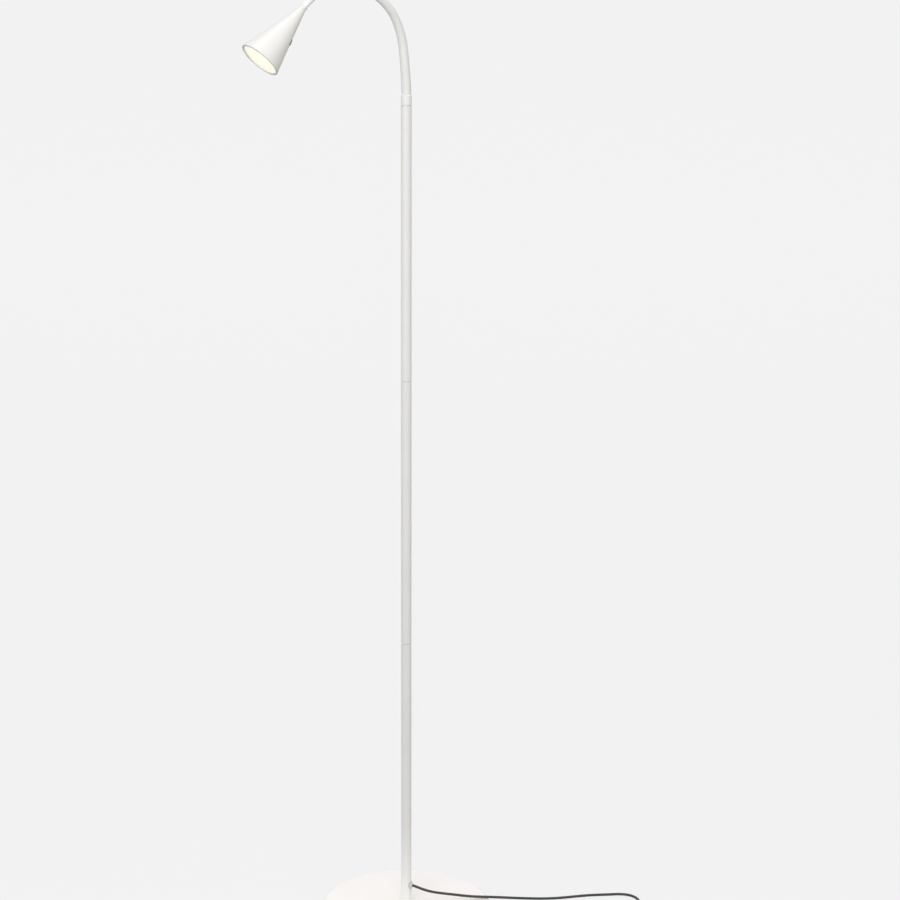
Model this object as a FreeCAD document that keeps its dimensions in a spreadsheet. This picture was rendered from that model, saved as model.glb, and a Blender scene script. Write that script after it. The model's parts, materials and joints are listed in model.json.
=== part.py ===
"""Gooseneck reading floor lamp: weighted base, three-piece pole, flexible neck, cone head, lead and driver.

Frame: the origin is the centre of the base's underside, +Z is up along the pole, the neck arches towards -X.
All sizes are millimetres. Every driving size is a cell of the sheet "Sizes" below.
"""
import FreeCAD, Part
import Sketcher
import math
import os
from FreeCAD import Placement, Rotation, Vector

doc = FreeCAD.newDocument("reading_lamp")

# ----------------------------------------------------------------------------------------------------
# Driving sizes
# ----------------------------------------------------------------------------------------------------
SIZES = {
    "Base": {
        "base_radius": (134.0, "outer radius of the base"),
        "base_height": (19.0, "floor to the top of the cover"),
        "base_edge_round": (5.0, "rounding of the cover's top edge"),
        "cover_wall": (1.5, "sheet of the cover"),
        "pad_thickness": (2.0, "soft pad under the base"),
        "pad_inset": (5.0, "pad edge inside the base edge"),
        "pad_hole_radius": (14.0, "opening in the pad for the bolt head"),
        "weight_gap": (0.5, "weight's edge to the cover's skirt"),
        "weight_thickness": (9.0, "plate of the cast weight"),
        "weight_hub_radius": (24.0, "raised hub under the pole"),
        "bolt_radius": (4.0, "base bolt shank"),
        "bolt_length": (26.0, "base bolt shank below its head"),
        "bolt_head_flats": (13.0, "across the flats of the bolt head"),
        "bolt_head_height": (5.3, "height of the bolt head"),
        "bolt_recess_radius": (12.0, "counterbore in the weight"),
        "bolt_recess_depth": (8.0, "counterbore in the weight"),
        "washer_radius": (9.0, "washer under the bolt head"),
        "washer_thickness": (1.6, "washer under the bolt head"),
        "bolt_clearance": (0.3, "radial, bolt in its plain holes"),
        "cap_gap": (0.3, "radial, cap over the bolt in the pad's opening"),
    },
    "Pole": {
        "pole_radius": (8.0, "outer radius of the tubes"),
        "tube_wall": (1.2, "wall of the tubes"),
        "lower_tube_length": (443.0, "tube that stands on the base"),
        "tube_length": (424.0, "middle and upper tube, each"),
        "joint_seam": (0.6, "open seam between two tubes of the pole"),
        "neck_seam": (1.2, "open seam under the collar between pole and neck"),
        "tube_foot_bevel": (0.4, "bevel under the foot of a tube"),
        "tube_top_bevel": (0.2, "broken edge at the top of a tube"),
        "thread_gap": (0.05, "radial, male thread in its socket"),
        "foot_socket_length": (20.0, "threaded bush in the foot of the pole"),
        "stud_length": (22.0, "part of a stud that is pressed into its tube"),
        "spigot_radius": (5.0, "threaded end of a stud"),
        "spigot_length": (9.0, "threaded end of a stud"),
        "socket_length": (14.0, "threaded bush in the foot of a tube"),
        "lead_bore_radius": (2.7, "bore of studs for the lead"),
    },
    "Neck": {
        "ferrule_length": (17.0, "collar between pole and neck"),
        "ferrule_bevel": (1.0, "bevel of the collar's top edge"),
        "neck_length": (309.4, "bent length from collar to head"),
        "neck_root_radius": (7.3, "sleeve where it leaves the pole"),
        "neck_tip_radius": (4.7, "sleeve where it meets the head"),
        "core_radius": (3.2, "steel gooseneck inside the sleeve"),
        "core_bore_radius": (1.6, "bore of the gooseneck"),
        "core_in_ferrule": (6.5, "gooseneck held in the collar"),
        "joint_gap": (0.3, "radial, between the ball and cup of two links"),
        "link_turn_0": (4.5, "bend of the neck before its first joint, degrees"),
        "link_turn_1": (2.0, "bend of link 1, degrees"),
        "link_turn_2": (18.0, "bend of link 2, degrees"),
        "link_turn_3": (25.5, "bend of link 3, degrees"),
        "link_turn_4": (17.7, "bend of link 4, degrees"),
        "link_turn_5": (24.6, "bend of link 5, degrees"),
        "link_turn_6": (31.1, "bend of link 6, degrees"),
        "link_turn_7": (8.1, "bend of the neck after its last joint, degrees"),
    },
    "Head": {
        "collar_radius": (5.5, "ring where the neck enters the head"),
        "collar_length": (4.0, "ring where the neck enters the head"),
        "shade_length": (99.7, "narrow end to mouth"),
        "shade_neck_radius": (5.1, "outside, narrow end"),
        "shade_mouth_radius": (31.8, "outside, mouth"),
        "shade_flare": (0.3, "hollow of the cone's profile at its middle"),
        "shade_wall": (1.2, "wall of the shade"),
        "shade_hub_length": (13.0, "solid hub in the narrow end"),
        "core_nut_radius": (4.9, "nut that holds the gooseneck in the hub"),
        "core_nut_length": (4.0, "nut that holds the gooseneck in the hub"),
        "seat_gap": (0.1, "between the shade's wall and what sits in it"),
        "ring_wall": (0.7, "wall of the lens ring"),
        "ring_depth": (3.5, "part of the lens ring inside the shade"),
        "ring_lip": (0.9, "lip of the lens ring over the mouth"),
        "lens_thickness": (2.0, "diffusing lens"),
        "lens_recess": (0.6, "lens face behind the mouth"),
        "lens_dimple_radius": (1.3, "moulded dimple in the lens"),
        "lens_dimple_depth": (0.5, "moulded dimple in the lens"),
        "lens_dimple_place": (16.5, "dimple to the lens's centre"),
        "reflector_depth": (21.0, "light board to lens"),
        "reflector_wall": (1.0, "wall of the reflector"),
        "reflector_throat": (13.6, "inner radius at the light board"),
        "board_radius": (13.0, "light board"),
        "board_thickness": (1.6, "light board"),
        "chip_size": (3.0, "side of a light chip"),
        "chip_height": (0.7, "height of a light chip"),
        "chip_circle": (6.3, "circle of the light chips"),
        "sink_length": (10.0, "heat sink along the head"),
        "sink_plate": (3.5, "solid front of the heat sink"),
        "sink_hub_radius": (6.5, "hub of the heat sink"),
        "sink_bore_radius": (2.0, "lead's hole through heat sink and board"),
        "board_screw_radius": (1.25, "thread of the board screws"),
        "board_screw_length": (5.0, "thread of the board screws"),
        "board_screw_head": (2.2, "head radius of the board screws"),
        "board_screw_place": (10.2, "screw to the head's axis"),
        "lead_core_radius": (1.3, "lead inside the head"),
    },
    "Switch": {
        "switch_place": (52.5, "switch to the narrow end, along the head"),
        "switch_turn": (52.0, "switch round the head from its underside, degrees"),
        "bezel_radius": (5.0, "bush of the button"),
        "bezel_proud": (0.5, "bush outside the shade"),
        "bezel_depth": (3.4, "bush inside the shade's outer face"),
        "button_radius": (3.7, "push button"),
        "button_proud": (0.9, "push button outside the shade"),
        "button_travel": (1.0, "stroke of the button"),
        "button_gap": (0.3, "radial, button in its bush"),
        "switch_body_radius": (5.6, "switch behind the bush"),
        "switch_body_length": (7.0, "switch behind the bush"),
    },
    "Lead": {
        "cord_radius": (2.1, "low-voltage lead"),
        "cord_exit_height": (54.2, "lead's hole above the floor"),
        "cord_exit_turn": (-68.0, "direction in which the lead leaves the pole, degrees from +X"),
        "lay_turn": (-36.0, "direction in which the lead lies, degrees from +X"),
        "inner_bend_radius": (4.6, "bend of the lead inside the pole"),
        "gland_height": (13.0, "oval flange of the gland"),
        "gland_width": (9.5, "oval flange of the gland"),
        "gland_thickness": (1.4, "flange outside the pole"),
        "gland_shank_radius": (3.7, "gland in the tube's hole"),
        "gland_shank_tail": (1.0, "shank inside the tube's bore"),
        "gland_nose_wall": (0.6, "nose round the lead, at its end"),
        "gland_nose_length": (2.6, "nose beyond the flange"),
        "gland_gap": (0.1, "radial, gland in the tube's hole"),
        "coil_mean_radius": (24.0, "middle of the turns"),
        "coil_pitch": (4.7, "turn to turn, and layer to layer"),
        "coil_layers": (4, "layers of turns"),
        "coil_turns": (9.25, "turns in all"),
        "coil_lift": (3.4, "floor to the middle of the lowest layer"),
        "tie_thickness": (0.9, "strap round the coil"),
        "tie_width": (6.0, "strap round the coil"),
        "tie_gap": (0.4, "strap to the turns"),
        "tie_round": (1.5, "rounding inside the strap's corners"),
    },
    "Plug": {
        "plug_length": (62.0, "plug-in driver, along the lead"),
        "plug_width": (36.0, "plug-in driver"),
        "plug_height": (24.0, "plug-in driver"),
        "plug_round": (4.0, "rounding of the driver's edges"),
        "plug_wall": (2.0, "wall of the driver's shells"),
        "plug_relief_length": (16.0, "tapered relief on the lead"),
        "plug_relief_root": (4.4, "relief radius at the driver"),
        "plug_relief_tip": (3.0, "relief radius at its tip"),
        "plug_relief_tail": (3.0, "relief inside the driver"),
        "pin_radius": (2.0, "mains pin"),
        "pin_length": (19.0, "mains pin outside the driver"),
        "pin_root": (8.0, "mains pin inside the driver"),
        "pin_spacing": (18.6, "pin to pin"),
        "pin_sleeve_radius": (1.9, "bare tip of the pin"),
        "plug_board_thickness": (1.6, "board of the driver"),
        "plug_board_inset": (1.5, "board edge to the shell's inside"),
        "transformer_size": (16.0, "side of the transformer"),
        "transformer_height": (11.0, "height of the transformer"),
    },
}

sheet = doc.addObject("Spreadsheet::Sheet", "Sizes")
row = 1
for group, cells in SIZES.items():
    sheet.set("A%d" % row, group)
    for alias, (value, meaning) in cells.items():
        row += 1
        sheet.set("A%d" % row, meaning)
        sheet.set("B%d" % row, str(value))
        sheet.setAlias("B%d" % row, alias)
    row += 2
doc.recompute()


def size(alias):
    """The number in the sheet's cell of that alias."""
    return float(sheet.get(alias))


def value(expression):
    """The number that an expression over the sheet gives."""
    return float(sheet.evalExpression(expression))


NODES = []


def node(thing, label, place=None):
    """Names a finished sub-part, and sets it in its place."""
    thing.Label = label
    if place is not None:
        thing.Placement = place
    NODES.append(thing)
    return thing


# ----------------------------------------------------------------------------------------------------
# Ways of making pieces
# ----------------------------------------------------------------------------------------------------
def origin_plane(body, role):
    return [feature for feature in body.Origin.OriginFeatures if feature.Role == role][0]


def sketch_on(body, name, role, height=None):
    """A sketch of the body on one of its origin planes, raised by an expression."""
    sketch = body.newObject("Sketcher::SketchObject", name)
    sketch.AttachmentSupport = (origin_plane(body, role), [""])
    sketch.MapMode = "FlatFace"
    if height is not None:
        sketch.setExpression("AttachmentOffset.Base.z", height)
    return sketch


def pin_point(sketch, edge, end, across, along):
    """Holds one end of a sketch edge at two expressions, counted from the sketch's origin."""
    for kind, expression, axis in (("DistanceX", across, -2), ("DistanceY", along, -1)):
        if expression == "0":
            sketch.addConstraint(Sketcher.Constraint("PointOnObject", edge, end, axis))
        else:
            at = sketch.addConstraint(Sketcher.Constraint(kind, -1, 1, edge, end, value(expression)))
            sketch.setExpression("Constraints[%d]" % at, expression)


def draw_outline(sketch, corners):
    """A closed outline of straight edges through corners given as pairs of expressions."""
    points = [Vector(value(across), value(along), 0) for across, along in corners]
    count = len(points)
    for index in range(count):
        sketch.addGeometry(Part.LineSegment(points[index], points[(index + 1) % count]))
    for index in range(count):
        sketch.addConstraint(Sketcher.Constraint("Coincident", index, 2, (index + 1) % count, 1))
    for index, (across, along) in enumerate(corners):
        pin_point(sketch, index, 1, across, along)


def revolve(body, sketch):
    turned_solid = body.newObject("PartDesign::Revolution", body.Name + "_turn")
    turned_solid.Profile = sketch
    turned_solid.ReferenceAxis = (sketch, ["V_Axis"])
    turned_solid.Angle = 360
    doc.recompute()
    return turned_solid


def turned(name, corners, raised=None):
    """A body turned about its Z axis, from an outline of (radius, height) expressions."""
    body = doc.addObject("PartDesign::Body", name)
    sketch = sketch_on(body, name + "_profile", "XZ_Plane")
    draw_outline(sketch, corners)
    revolve(body, sketch)
    if raised is not None:
        body.setExpression("Placement.Base.z", raised)
    return body


def ring_edges(shape, radius, height):
    """Names of the circular edges of a turned shape with that radius, at that height."""
    found = []
    for index, edge in enumerate(shape.Edges):
        circle = edge.Curve
        if not isinstance(circle, Part.Circle):
            continue
        if abs(circle.Radius - radius) < 1e-4 and abs(circle.Center.z - height) < 1e-4:
            found.append("Edge%d" % (index + 1))
    return found


def dress(body, kind, rings, amount):
    """Rounds (Fillet) or bevels (Chamfer) the ring edges of a turned body, named by (radius, height)."""
    tip = body.Tip
    names = []
    for radius, height in rings:
        names += ring_edges(tip.Shape, value(radius), value(height))
    feature = body.newObject("PartDesign::" + kind, body.Name + "_" + kind.lower())
    feature.Base = (tip, names)
    feature.setExpression("Radius" if kind == "Fillet" else "Size", amount)
    body.Tip = feature
    doc.recompute()
    return body


def cylinder(name, radius, length, place=None):
    solid = doc.addObject("Part::Cylinder", name)
    solid.setExpression("Radius", radius)
    solid.setExpression("Height", length)
    if place is not None:
        solid.Placement = place
    return solid


def cut(name, base, tool):
    result = doc.addObject("Part::Cut", name)
    result.Base = base
    result.Tool = tool
    return result


def together(name, shapes):
    result = doc.addObject("Part::MultiFuse", name)
    result.Shapes = shapes
    return result


def shaped(label, shape, place=None):
    """A sub-part whose shape is worked out here from the sheet."""
    feature = doc.addObject("Part::Feature", label)
    feature.Shape = shape
    return node(feature, label, place)


# ----------------------------------------------------------------------------------------------------
# Base
# ----------------------------------------------------------------------------------------------------
PAD = "Sizes.pad_thickness"
TOP = "Sizes.base_height"
COVER_UNDER = "(Sizes.base_height - Sizes.cover_wall)"
COVER_INSIDE = "(Sizes.base_radius - Sizes.cover_wall)"
BOLT_HOLE = "(Sizes.bolt_radius + Sizes.bolt_clearance)"
RECESS_TOP = "(%s + Sizes.bolt_recess_depth)" % PAD


def make_base():
    pad_edge = "(Sizes.base_radius - Sizes.pad_inset)"
    node(turned("pad", [("Sizes.pad_hole_radius", "0"), (pad_edge, "0"), (pad_edge, PAD),
                        ("Sizes.pad_hole_radius", PAD)]), "base_pad")
    cap_edge = "(Sizes.pad_hole_radius - Sizes.cap_gap)"
    node(turned("cap", [("0", "0"), (cap_edge, "0"), (cap_edge, PAD), ("0", PAD)]), "bolt_cap")

    weight_edge = "(%s - Sizes.weight_gap)" % COVER_INSIDE
    plate_top = "(%s + Sizes.weight_thickness)" % PAD
    weight = turned("weight", [
        ("Sizes.bolt_recess_radius", PAD), (weight_edge, PAD), (weight_edge, plate_top),
        ("Sizes.weight_hub_radius", plate_top), ("Sizes.weight_hub_radius", COVER_UNDER),
        (BOLT_HOLE, COVER_UNDER), (BOLT_HOLE, RECESS_TOP), ("Sizes.bolt_recess_radius", RECESS_TOP)])
    node(weight, "base_weight")

    cover = turned("cover", [
        (COVER_INSIDE, PAD), ("Sizes.base_radius", PAD), ("Sizes.base_radius", TOP),
        (BOLT_HOLE, TOP), (BOLT_HOLE, COVER_UNDER), (COVER_INSIDE, COVER_UNDER)])
    dress(cover, "Fillet", [("Sizes.base_radius", TOP)], "Sizes.base_edge_round")
    dress(cover, "Fillet", [(COVER_INSIDE, COVER_UNDER)], "Sizes.base_edge_round - Sizes.cover_wall")
    node(cover, "base_cover")

    washer_under = "(%s - Sizes.washer_thickness)" % RECESS_TOP
    node(turned("washer", [(BOLT_HOLE, washer_under), ("Sizes.washer_radius", washer_under),
                           ("Sizes.washer_radius", RECESS_TOP), (BOLT_HOLE, RECESS_TOP)]), "base_washer")

    shank = cylinder("bolt_shank", "Sizes.bolt_radius", "Sizes.bolt_length")
    shank.setExpression("Placement.Base.z", washer_under)
    head = doc.addObject("Part::Prism", "bolt_head")
    head.Polygon = 6
    head.setExpression("Circumradius", "Sizes.bolt_head_flats / sqrt(3)")
    head.setExpression("Height", "Sizes.bolt_head_height")
    head.setExpression("Placement.Base.z", washer_under + " - Sizes.bolt_head_height")
    node(together("bolt", [shank, head]), "base_bolt")


# ----------------------------------------------------------------------------------------------------
# Pole: three tubes that screw together over studs and sockets
# ----------------------------------------------------------------------------------------------------
LOW_JOINT = "(Sizes.base_height + Sizes.lower_tube_length)"
MIDDLE_JOINT = "(%s + Sizes.tube_length)" % LOW_JOINT
NECK_JOINT = "(%s + Sizes.tube_length)" % MIDDLE_JOINT
NECK_START = "(%s + Sizes.ferrule_length)" % NECK_JOINT
TUBE_BORE = "(Sizes.pole_radius - Sizes.tube_wall)"
SPIGOT_HOLE = "(Sizes.spigot_radius + Sizes.thread_gap)"
FOOT_BEVEL = "min(Sizes.tube_foot_bevel; 0.8 * Sizes.tube_wall)"
TOP_BEVEL = "min(Sizes.tube_top_bevel; 0.8 * Sizes.tube_wall)"


def exit_place():
    """The lead's hole in the pole: its Z axis points out along the lead's exit, its X axis points down."""
    turn = Rotation(Vector(0, 0, 1), size("cord_exit_turn")).multiply(Rotation(Vector(0, 1, 0), 90))
    return Placement(Vector(0, 0, size("cord_exit_height")), turn)


def tube(name, length, joint, seam="0"):
    """A plain tube with both outer edges bevelled; an open seam may part its foot from the tube below."""
    body = turned(name, [(TUBE_BORE, seam), ("Sizes.pole_radius", seam), ("Sizes.pole_radius", length),
                         (TUBE_BORE, length)], joint)
    dress(body, "Chamfer", [("Sizes.pole_radius", seam)], FOOT_BEVEL)
    return dress(body, "Chamfer", [("Sizes.pole_radius", length)], TOP_BEVEL)


def stud(name, joint):
    """Pressed into the top of a tube, with a hollow threaded spigot above it."""
    bottom = "(-Sizes.stud_length)"
    corners = [("Sizes.lead_bore_radius", bottom), (TUBE_BORE, bottom), (TUBE_BORE, "0"),
               ("Sizes.spigot_radius", "0"), ("Sizes.spigot_radius", "Sizes.spigot_length"),
               ("Sizes.lead_bore_radius", "Sizes.spigot_length")]
    return node(turned(name, corners, joint), name)


def socket(name, length, bore, foot):
    """Threaded bush pressed into the foot of a tube."""
    corners = [(bore, "0"), (TUBE_BORE, "0"), (TUBE_BORE, length), (bore, length)]
    return node(turned(name, corners, foot), name)


def make_pole():
    foot = tube("lower_blank", "Sizes.lower_tube_length", TOP)
    lead_hole = cylinder("lead_hole", "Sizes.gland_shank_radius + Sizes.gland_gap", "2 * Sizes.pole_radius",
                         exit_place())
    node(cut("lower", foot, lead_hole), "lower_tube")
    node(tube("middle", "Sizes.tube_length", LOW_JOINT, "Sizes.joint_seam"), "middle_tube")
    node(tube("upper", "Sizes.tube_length", MIDDLE_JOINT, "Sizes.joint_seam"), "upper_tube")
    socket("foot_socket", "Sizes.foot_socket_length", "(Sizes.bolt_radius + Sizes.thread_gap)", TOP)
    stud("lower_joint_stud", LOW_JOINT)
    socket("lower_joint_socket", "Sizes.socket_length", SPIGOT_HOLE, LOW_JOINT)
    stud("upper_joint_stud", MIDDLE_JOINT)
    socket("upper_joint_socket", "Sizes.socket_length", SPIGOT_HOLE, MIDDLE_JOINT)
    stud("neck_joint_stud", NECK_JOINT)

    web_under = "Sizes.spigot_length + Sizes.thread_gap"
    web_top = "Sizes.ferrule_length - Sizes.core_in_ferrule"
    ferrule = turned("ferrule", [
        (SPIGOT_HOLE, "0"), (TUBE_BORE, "0"), (TUBE_BORE, "Sizes.neck_seam"),
        ("Sizes.pole_radius", "Sizes.neck_seam"), ("Sizes.pole_radius", "Sizes.ferrule_length"),
        ("Sizes.core_radius", "Sizes.ferrule_length"), ("Sizes.core_radius", web_top),
        ("Sizes.lead_bore_radius", web_top), ("Sizes.lead_bore_radius", web_under), (SPIGOT_HOLE, web_under)],
        NECK_JOINT)
    dress(ferrule, "Chamfer", [("Sizes.pole_radius", "Sizes.neck_seam")], FOOT_BEVEL)
    dress(ferrule, "Chamfer", [("Sizes.pole_radius", "Sizes.ferrule_length")],
          "min(Sizes.ferrule_bevel; 0.8 * (Sizes.pole_radius - Sizes.core_radius))")
    node(ferrule, "neck_ferrule")


# ----------------------------------------------------------------------------------------------------
# Neck: a chain of bent links, each with a ball at its far end in the cup of the next
# ----------------------------------------------------------------------------------------------------
LINKS = 7                       # joints of the neck, with half a link before the first and after the last
CIRCLES_PER_LINK = 5            # sections of a link's loft


def link_ends():
    """Distances along the neck at which its links begin and end: collar, joints, head."""
    pitch = size("neck_length") / LINKS
    return [0.0] + [(index + 0.5) * pitch for index in range(LINKS)] + [size("neck_length")]


def neck_place(distance):
    """A place on the neck's middle line: Z runs along the neck, X stays in the plane of the bend."""
    point = Vector(0, 0, value(NECK_START))
    angle = 0.0
    ends = link_ends()
    for index in range(LINKS + 1):
        span = ends[index + 1] - ends[index]
        run = min(max(distance - ends[index], 0.0), span)
        turn = math.radians(size("link_turn_%d" % index)) * run / span
        chord = run if abs(turn) < 1e-9 else run * math.sin(turn / 2) / (turn / 2)
        point = point + Vector(-math.sin(angle + turn / 2), 0, math.cos(angle + turn / 2)) * chord
        angle += turn
    return Placement(point, Rotation(Vector(0, 1, 0), -math.degrees(angle)))


def sleeve_radius(distance):
    share = distance / size("neck_length")
    return size("neck_root_radius") + (size("neck_tip_radius") - size("neck_root_radius")) * share


def bent_rod(begin, finish, radius_at):
    """A rod along the neck between two distances, lofted through circles."""
    circles = []
    for index in range(CIRCLES_PER_LINK):
        distance = begin + (finish - begin) * index / (CIRCLES_PER_LINK - 1)
        place = neck_place(distance)
        axis = place.Rotation.multVec(Vector(0, 0, 1))
        circle = Part.Circle(place.Base, axis, radius_at(distance))
        circle.XAxis = place.Rotation.multVec(Vector(1, 0, 0))
        circles.append(Part.Wire([circle.toShape()]))
    return Part.makeLoft(circles, True, False)


def straight_rod(place, length, radius):
    """A cylinder from a place along its Z axis, or back along it where the length is negative."""
    axis = place.Rotation.multVec(Vector(0, 0, 1 if length > 0 else -1))
    return Part.makeCylinder(radius, abs(length), place.Base, axis)


def ball_end(distance):
    """Half a ball on the far end of a link, at a joint."""
    place = neck_place(distance)
    axis = place.Rotation.multVec(Vector(0, 0, 1))
    return Part.makeSphere(sleeve_radius(distance), place.Base, axis, 0, 90, 360)


def link_solids(index):
    """The sleeve and the gooseneck core of one link."""
    ends = link_ends()
    begin, finish = ends[index], ends[index + 1]
    core, bore = size("core_radius"), size("core_bore_radius")
    outside = bent_rod(begin, finish, sleeve_radius)
    inner = bent_rod(begin, finish, lambda distance: core)
    hollow = bent_rod(begin, finish, lambda distance: bore)
    far = neck_place(finish)
    if index < LINKS:
        outside = outside.fuse(ball_end(finish))
        inner = inner.fuse(straight_rod(far, 2 * sleeve_radius(finish), core)).common(outside)
        hollow = hollow.fuse(straight_rod(far, 2 * sleeve_radius(finish), bore))
    else:
        collar_back = far.multiply(Placement(Vector(0, 0, -size("collar_length")), Rotation()))
        outside = outside.cut(straight_rod(collar_back, 2 * size("collar_length"), 2 * sleeve_radius(begin)))
        in_head = size("shade_hub_length") + size("core_nut_length")
        inner = inner.fuse(straight_rod(far, in_head, core))
        hollow = hollow.fuse(straight_rod(far, in_head, bore))
    if index == 0:
        near = neck_place(begin)
        inner = inner.fuse(straight_rod(near, -size("core_in_ferrule"), core))
        hollow = hollow.fuse(straight_rod(near, -size("core_in_ferrule"), bore))
    sleeve = outside.cut(inner).cut(hollow)
    tube_core = inner.cut(hollow)
    if index > 0:
        cup = Part.makeSphere(sleeve_radius(begin) + size("joint_gap"), neck_place(begin).Base)
        sleeve = sleeve.cut(cup)
        tube_core = tube_core.cut(cup)
    return sleeve, tube_core


def one_solid(shape):
    return max(shape.Solids, key=lambda solid: solid.Volume)


def make_neck():
    for index in range(LINKS + 1):
        sleeve, core = link_solids(index)
        shaped("neck_sleeve_%d" % index, one_solid(sleeve))
        shaped("neck_core_%d" % index, one_solid(core))


# ----------------------------------------------------------------------------------------------------
# Head: a hollow-sided cone; heights run along its axis from the narrow end to the mouth
# ----------------------------------------------------------------------------------------------------
SPREAD = "(Sizes.shade_mouth_radius - Sizes.shade_neck_radius)"
CHORD = "sqrt(%s^2 + Sizes.shade_length^2)" % SPREAD
BOW = "((%s^2 / 4 + Sizes.shade_flare^2) / (2 * Sizes.shade_flare))" % CHORD
MIDDLE_RADIUS = "(Sizes.shade_neck_radius + Sizes.shade_mouth_radius) / 2"
BOW_ACROSS = "(%s + Sizes.shade_length / %s * (%s - Sizes.shade_flare))" % (MIDDLE_RADIUS, CHORD, BOW)
BOW_ALONG = "(Sizes.shade_length / 2 - %s / %s * (%s - Sizes.shade_flare))" % (SPREAD, CHORD, BOW)


def shade_outside(height):
    """Expression: the shade's outer radius at a height."""
    return "(%s - sqrt(%s^2 - (%s - %s)^2))" % (BOW_ACROSS, BOW, height, BOW_ALONG)


def shade_inside(height):
    """Expression: the shade's inner radius at a height."""
    return "(%s - sqrt((%s + Sizes.shade_wall)^2 - (%s - %s)^2))" % (BOW_ACROSS, BOW, height, BOW_ALONG)


LENS_FACE = "(Sizes.shade_length - Sizes.lens_recess)"
LENS_BACK = "(%s - Sizes.lens_thickness)" % LENS_FACE
BOARD_FACE = "(%s - Sizes.reflector_depth)" % LENS_BACK
SINK_FACE = "(%s - Sizes.board_thickness)" % BOARD_FACE
SINK_BACK = "(%s - Sizes.sink_length)" % SINK_FACE
RING_FOOT = "(Sizes.shade_length - Sizes.ring_depth)"
RING_OUTSIDE = "(%s - Sizes.seat_gap)" % shade_inside(RING_FOOT)
RING_INSIDE = "(%s - Sizes.ring_wall)" % RING_OUTSIDE
LENS_RADIUS = "(%s - Sizes.seat_gap)" % RING_INSIDE


def head_place():
    return neck_place(size("neck_length"))


def switch_place():
    """The switch in the head's frame: Z points out of the shade's wall, the origin is on its outer face."""
    radius = value(shade_outside("Sizes.switch_place"))
    turn = math.radians(180 + size("switch_turn"))
    outward = Vector(math.cos(turn), math.sin(turn), 0)
    slope = math.asin((size("switch_place") - value(BOW_ALONG)) / value(BOW))
    normal = outward * math.cos(slope) - Vector(0, 0, 1) * math.sin(slope)
    return Placement(outward * radius + Vector(0, 0, size("switch_place")), Rotation(Vector(0, 0, 1), normal))


def shade_body():
    """The cone's wall between two arcs about one centre, with a solid hub at the narrow end."""
    body = doc.addObject("PartDesign::Body", "shade_wall_body")
    sketch = sketch_on(body, "shade_profile", "XZ_Plane")
    centre = Vector(value(BOW_ACROSS), value(BOW_ALONG), 0)
    mouth = "Sizes.shade_length"
    hub = "Sizes.shade_hub_length"
    hub_inside = shade_inside(hub)
    corners = [("Sizes.shade_neck_radius", "0"), ("Sizes.shade_mouth_radius", mouth),
               (shade_inside(mouth), mouth), (hub_inside, hub), ("Sizes.core_radius", hub),
               ("Sizes.core_radius", "0")]
    points = [Vector(value(across), value(along), 0) for across, along in corners]

    def bow(first, last, radius):
        angles = [math.atan2(point.y - centre.y, point.x - centre.x) for point in (last, first)]
        angles = [angle + 2 * math.pi if angle < 0 else angle for angle in angles]
        circle = Part.Circle(centre, Vector(0, 0, 1), radius)
        return Part.ArcOfCircle(circle, angles[0], angles[1])

    sketch.addGeometry(bow(points[0], points[1], value(BOW)))
    sketch.addGeometry(Part.LineSegment(points[1], points[2]))
    sketch.addGeometry(bow(points[3], points[2], value(BOW) + size("shade_wall")))
    sketch.addGeometry(Part.LineSegment(points[3], points[4]))
    sketch.addGeometry(Part.LineSegment(points[4], points[5]))
    sketch.addGeometry(Part.LineSegment(points[5], points[0]))
    meetings = ((0, 1, 1, 1), (1, 2, 2, 1), (2, 2, 3, 1), (3, 2, 4, 1), (4, 2, 5, 1), (5, 2, 0, 2))
    for meeting in meetings:
        sketch.addConstraint(Sketcher.Constraint("Coincident", *meeting))
    sketch.addConstraint(Sketcher.Constraint("Coincident", 0, 3, 2, 3))
    pin_point(sketch, 5, 2, *corners[0])
    pin_point(sketch, 1, 1, *corners[1])
    at = sketch.addConstraint(Sketcher.Constraint("Radius", 0, value(BOW)))
    sketch.setExpression("Constraints[%d]" % at, BOW)
    pin_point(sketch, 1, 2, *corners[2])
    at = sketch.addConstraint(Sketcher.Constraint("DistanceY", -1, 1, 3, 1, value(hub)))
    sketch.setExpression("Constraints[%d]" % at, hub)
    pin_point(sketch, 3, 2, *corners[4])
    pin_point(sketch, 4, 2, *corners[5])
    revolve(body, sketch)
    return body


def make_shade():
    hole = cylinder("switch_hole", "Sizes.bezel_radius + Sizes.seat_gap", "4 * Sizes.bezel_depth")
    place = switch_place()
    outward = place.Rotation.multVec(Vector(0, 0, 1))
    hole.Placement = Placement(place.Base - outward * 2 * size("bezel_depth"), place.Rotation)
    node(cut("shade_cut", shade_body(), hole), "shade", head_place())

    back = "(-Sizes.collar_length)"
    collar = turned("collar", [("Sizes.core_radius", back), ("Sizes.collar_radius", back),
                               ("Sizes.collar_radius", "0"), ("Sizes.core_radius", "0")])
    dress(collar, "Fillet", [("Sizes.collar_radius", back)],
          "0.3 * (Sizes.collar_radius - Sizes.core_radius)")
    node(collar, "head_collar", head_place())

    nut_end = "(Sizes.shade_hub_length + Sizes.core_nut_length)"
    node(turned("core_nut", [("Sizes.core_radius", "Sizes.shade_hub_length"),
                             ("Sizes.core_nut_radius", "Sizes.shade_hub_length"),
                             ("Sizes.core_nut_radius", nut_end), ("Sizes.core_radius", nut_end)]),
         "core_nut", head_place())


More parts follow.
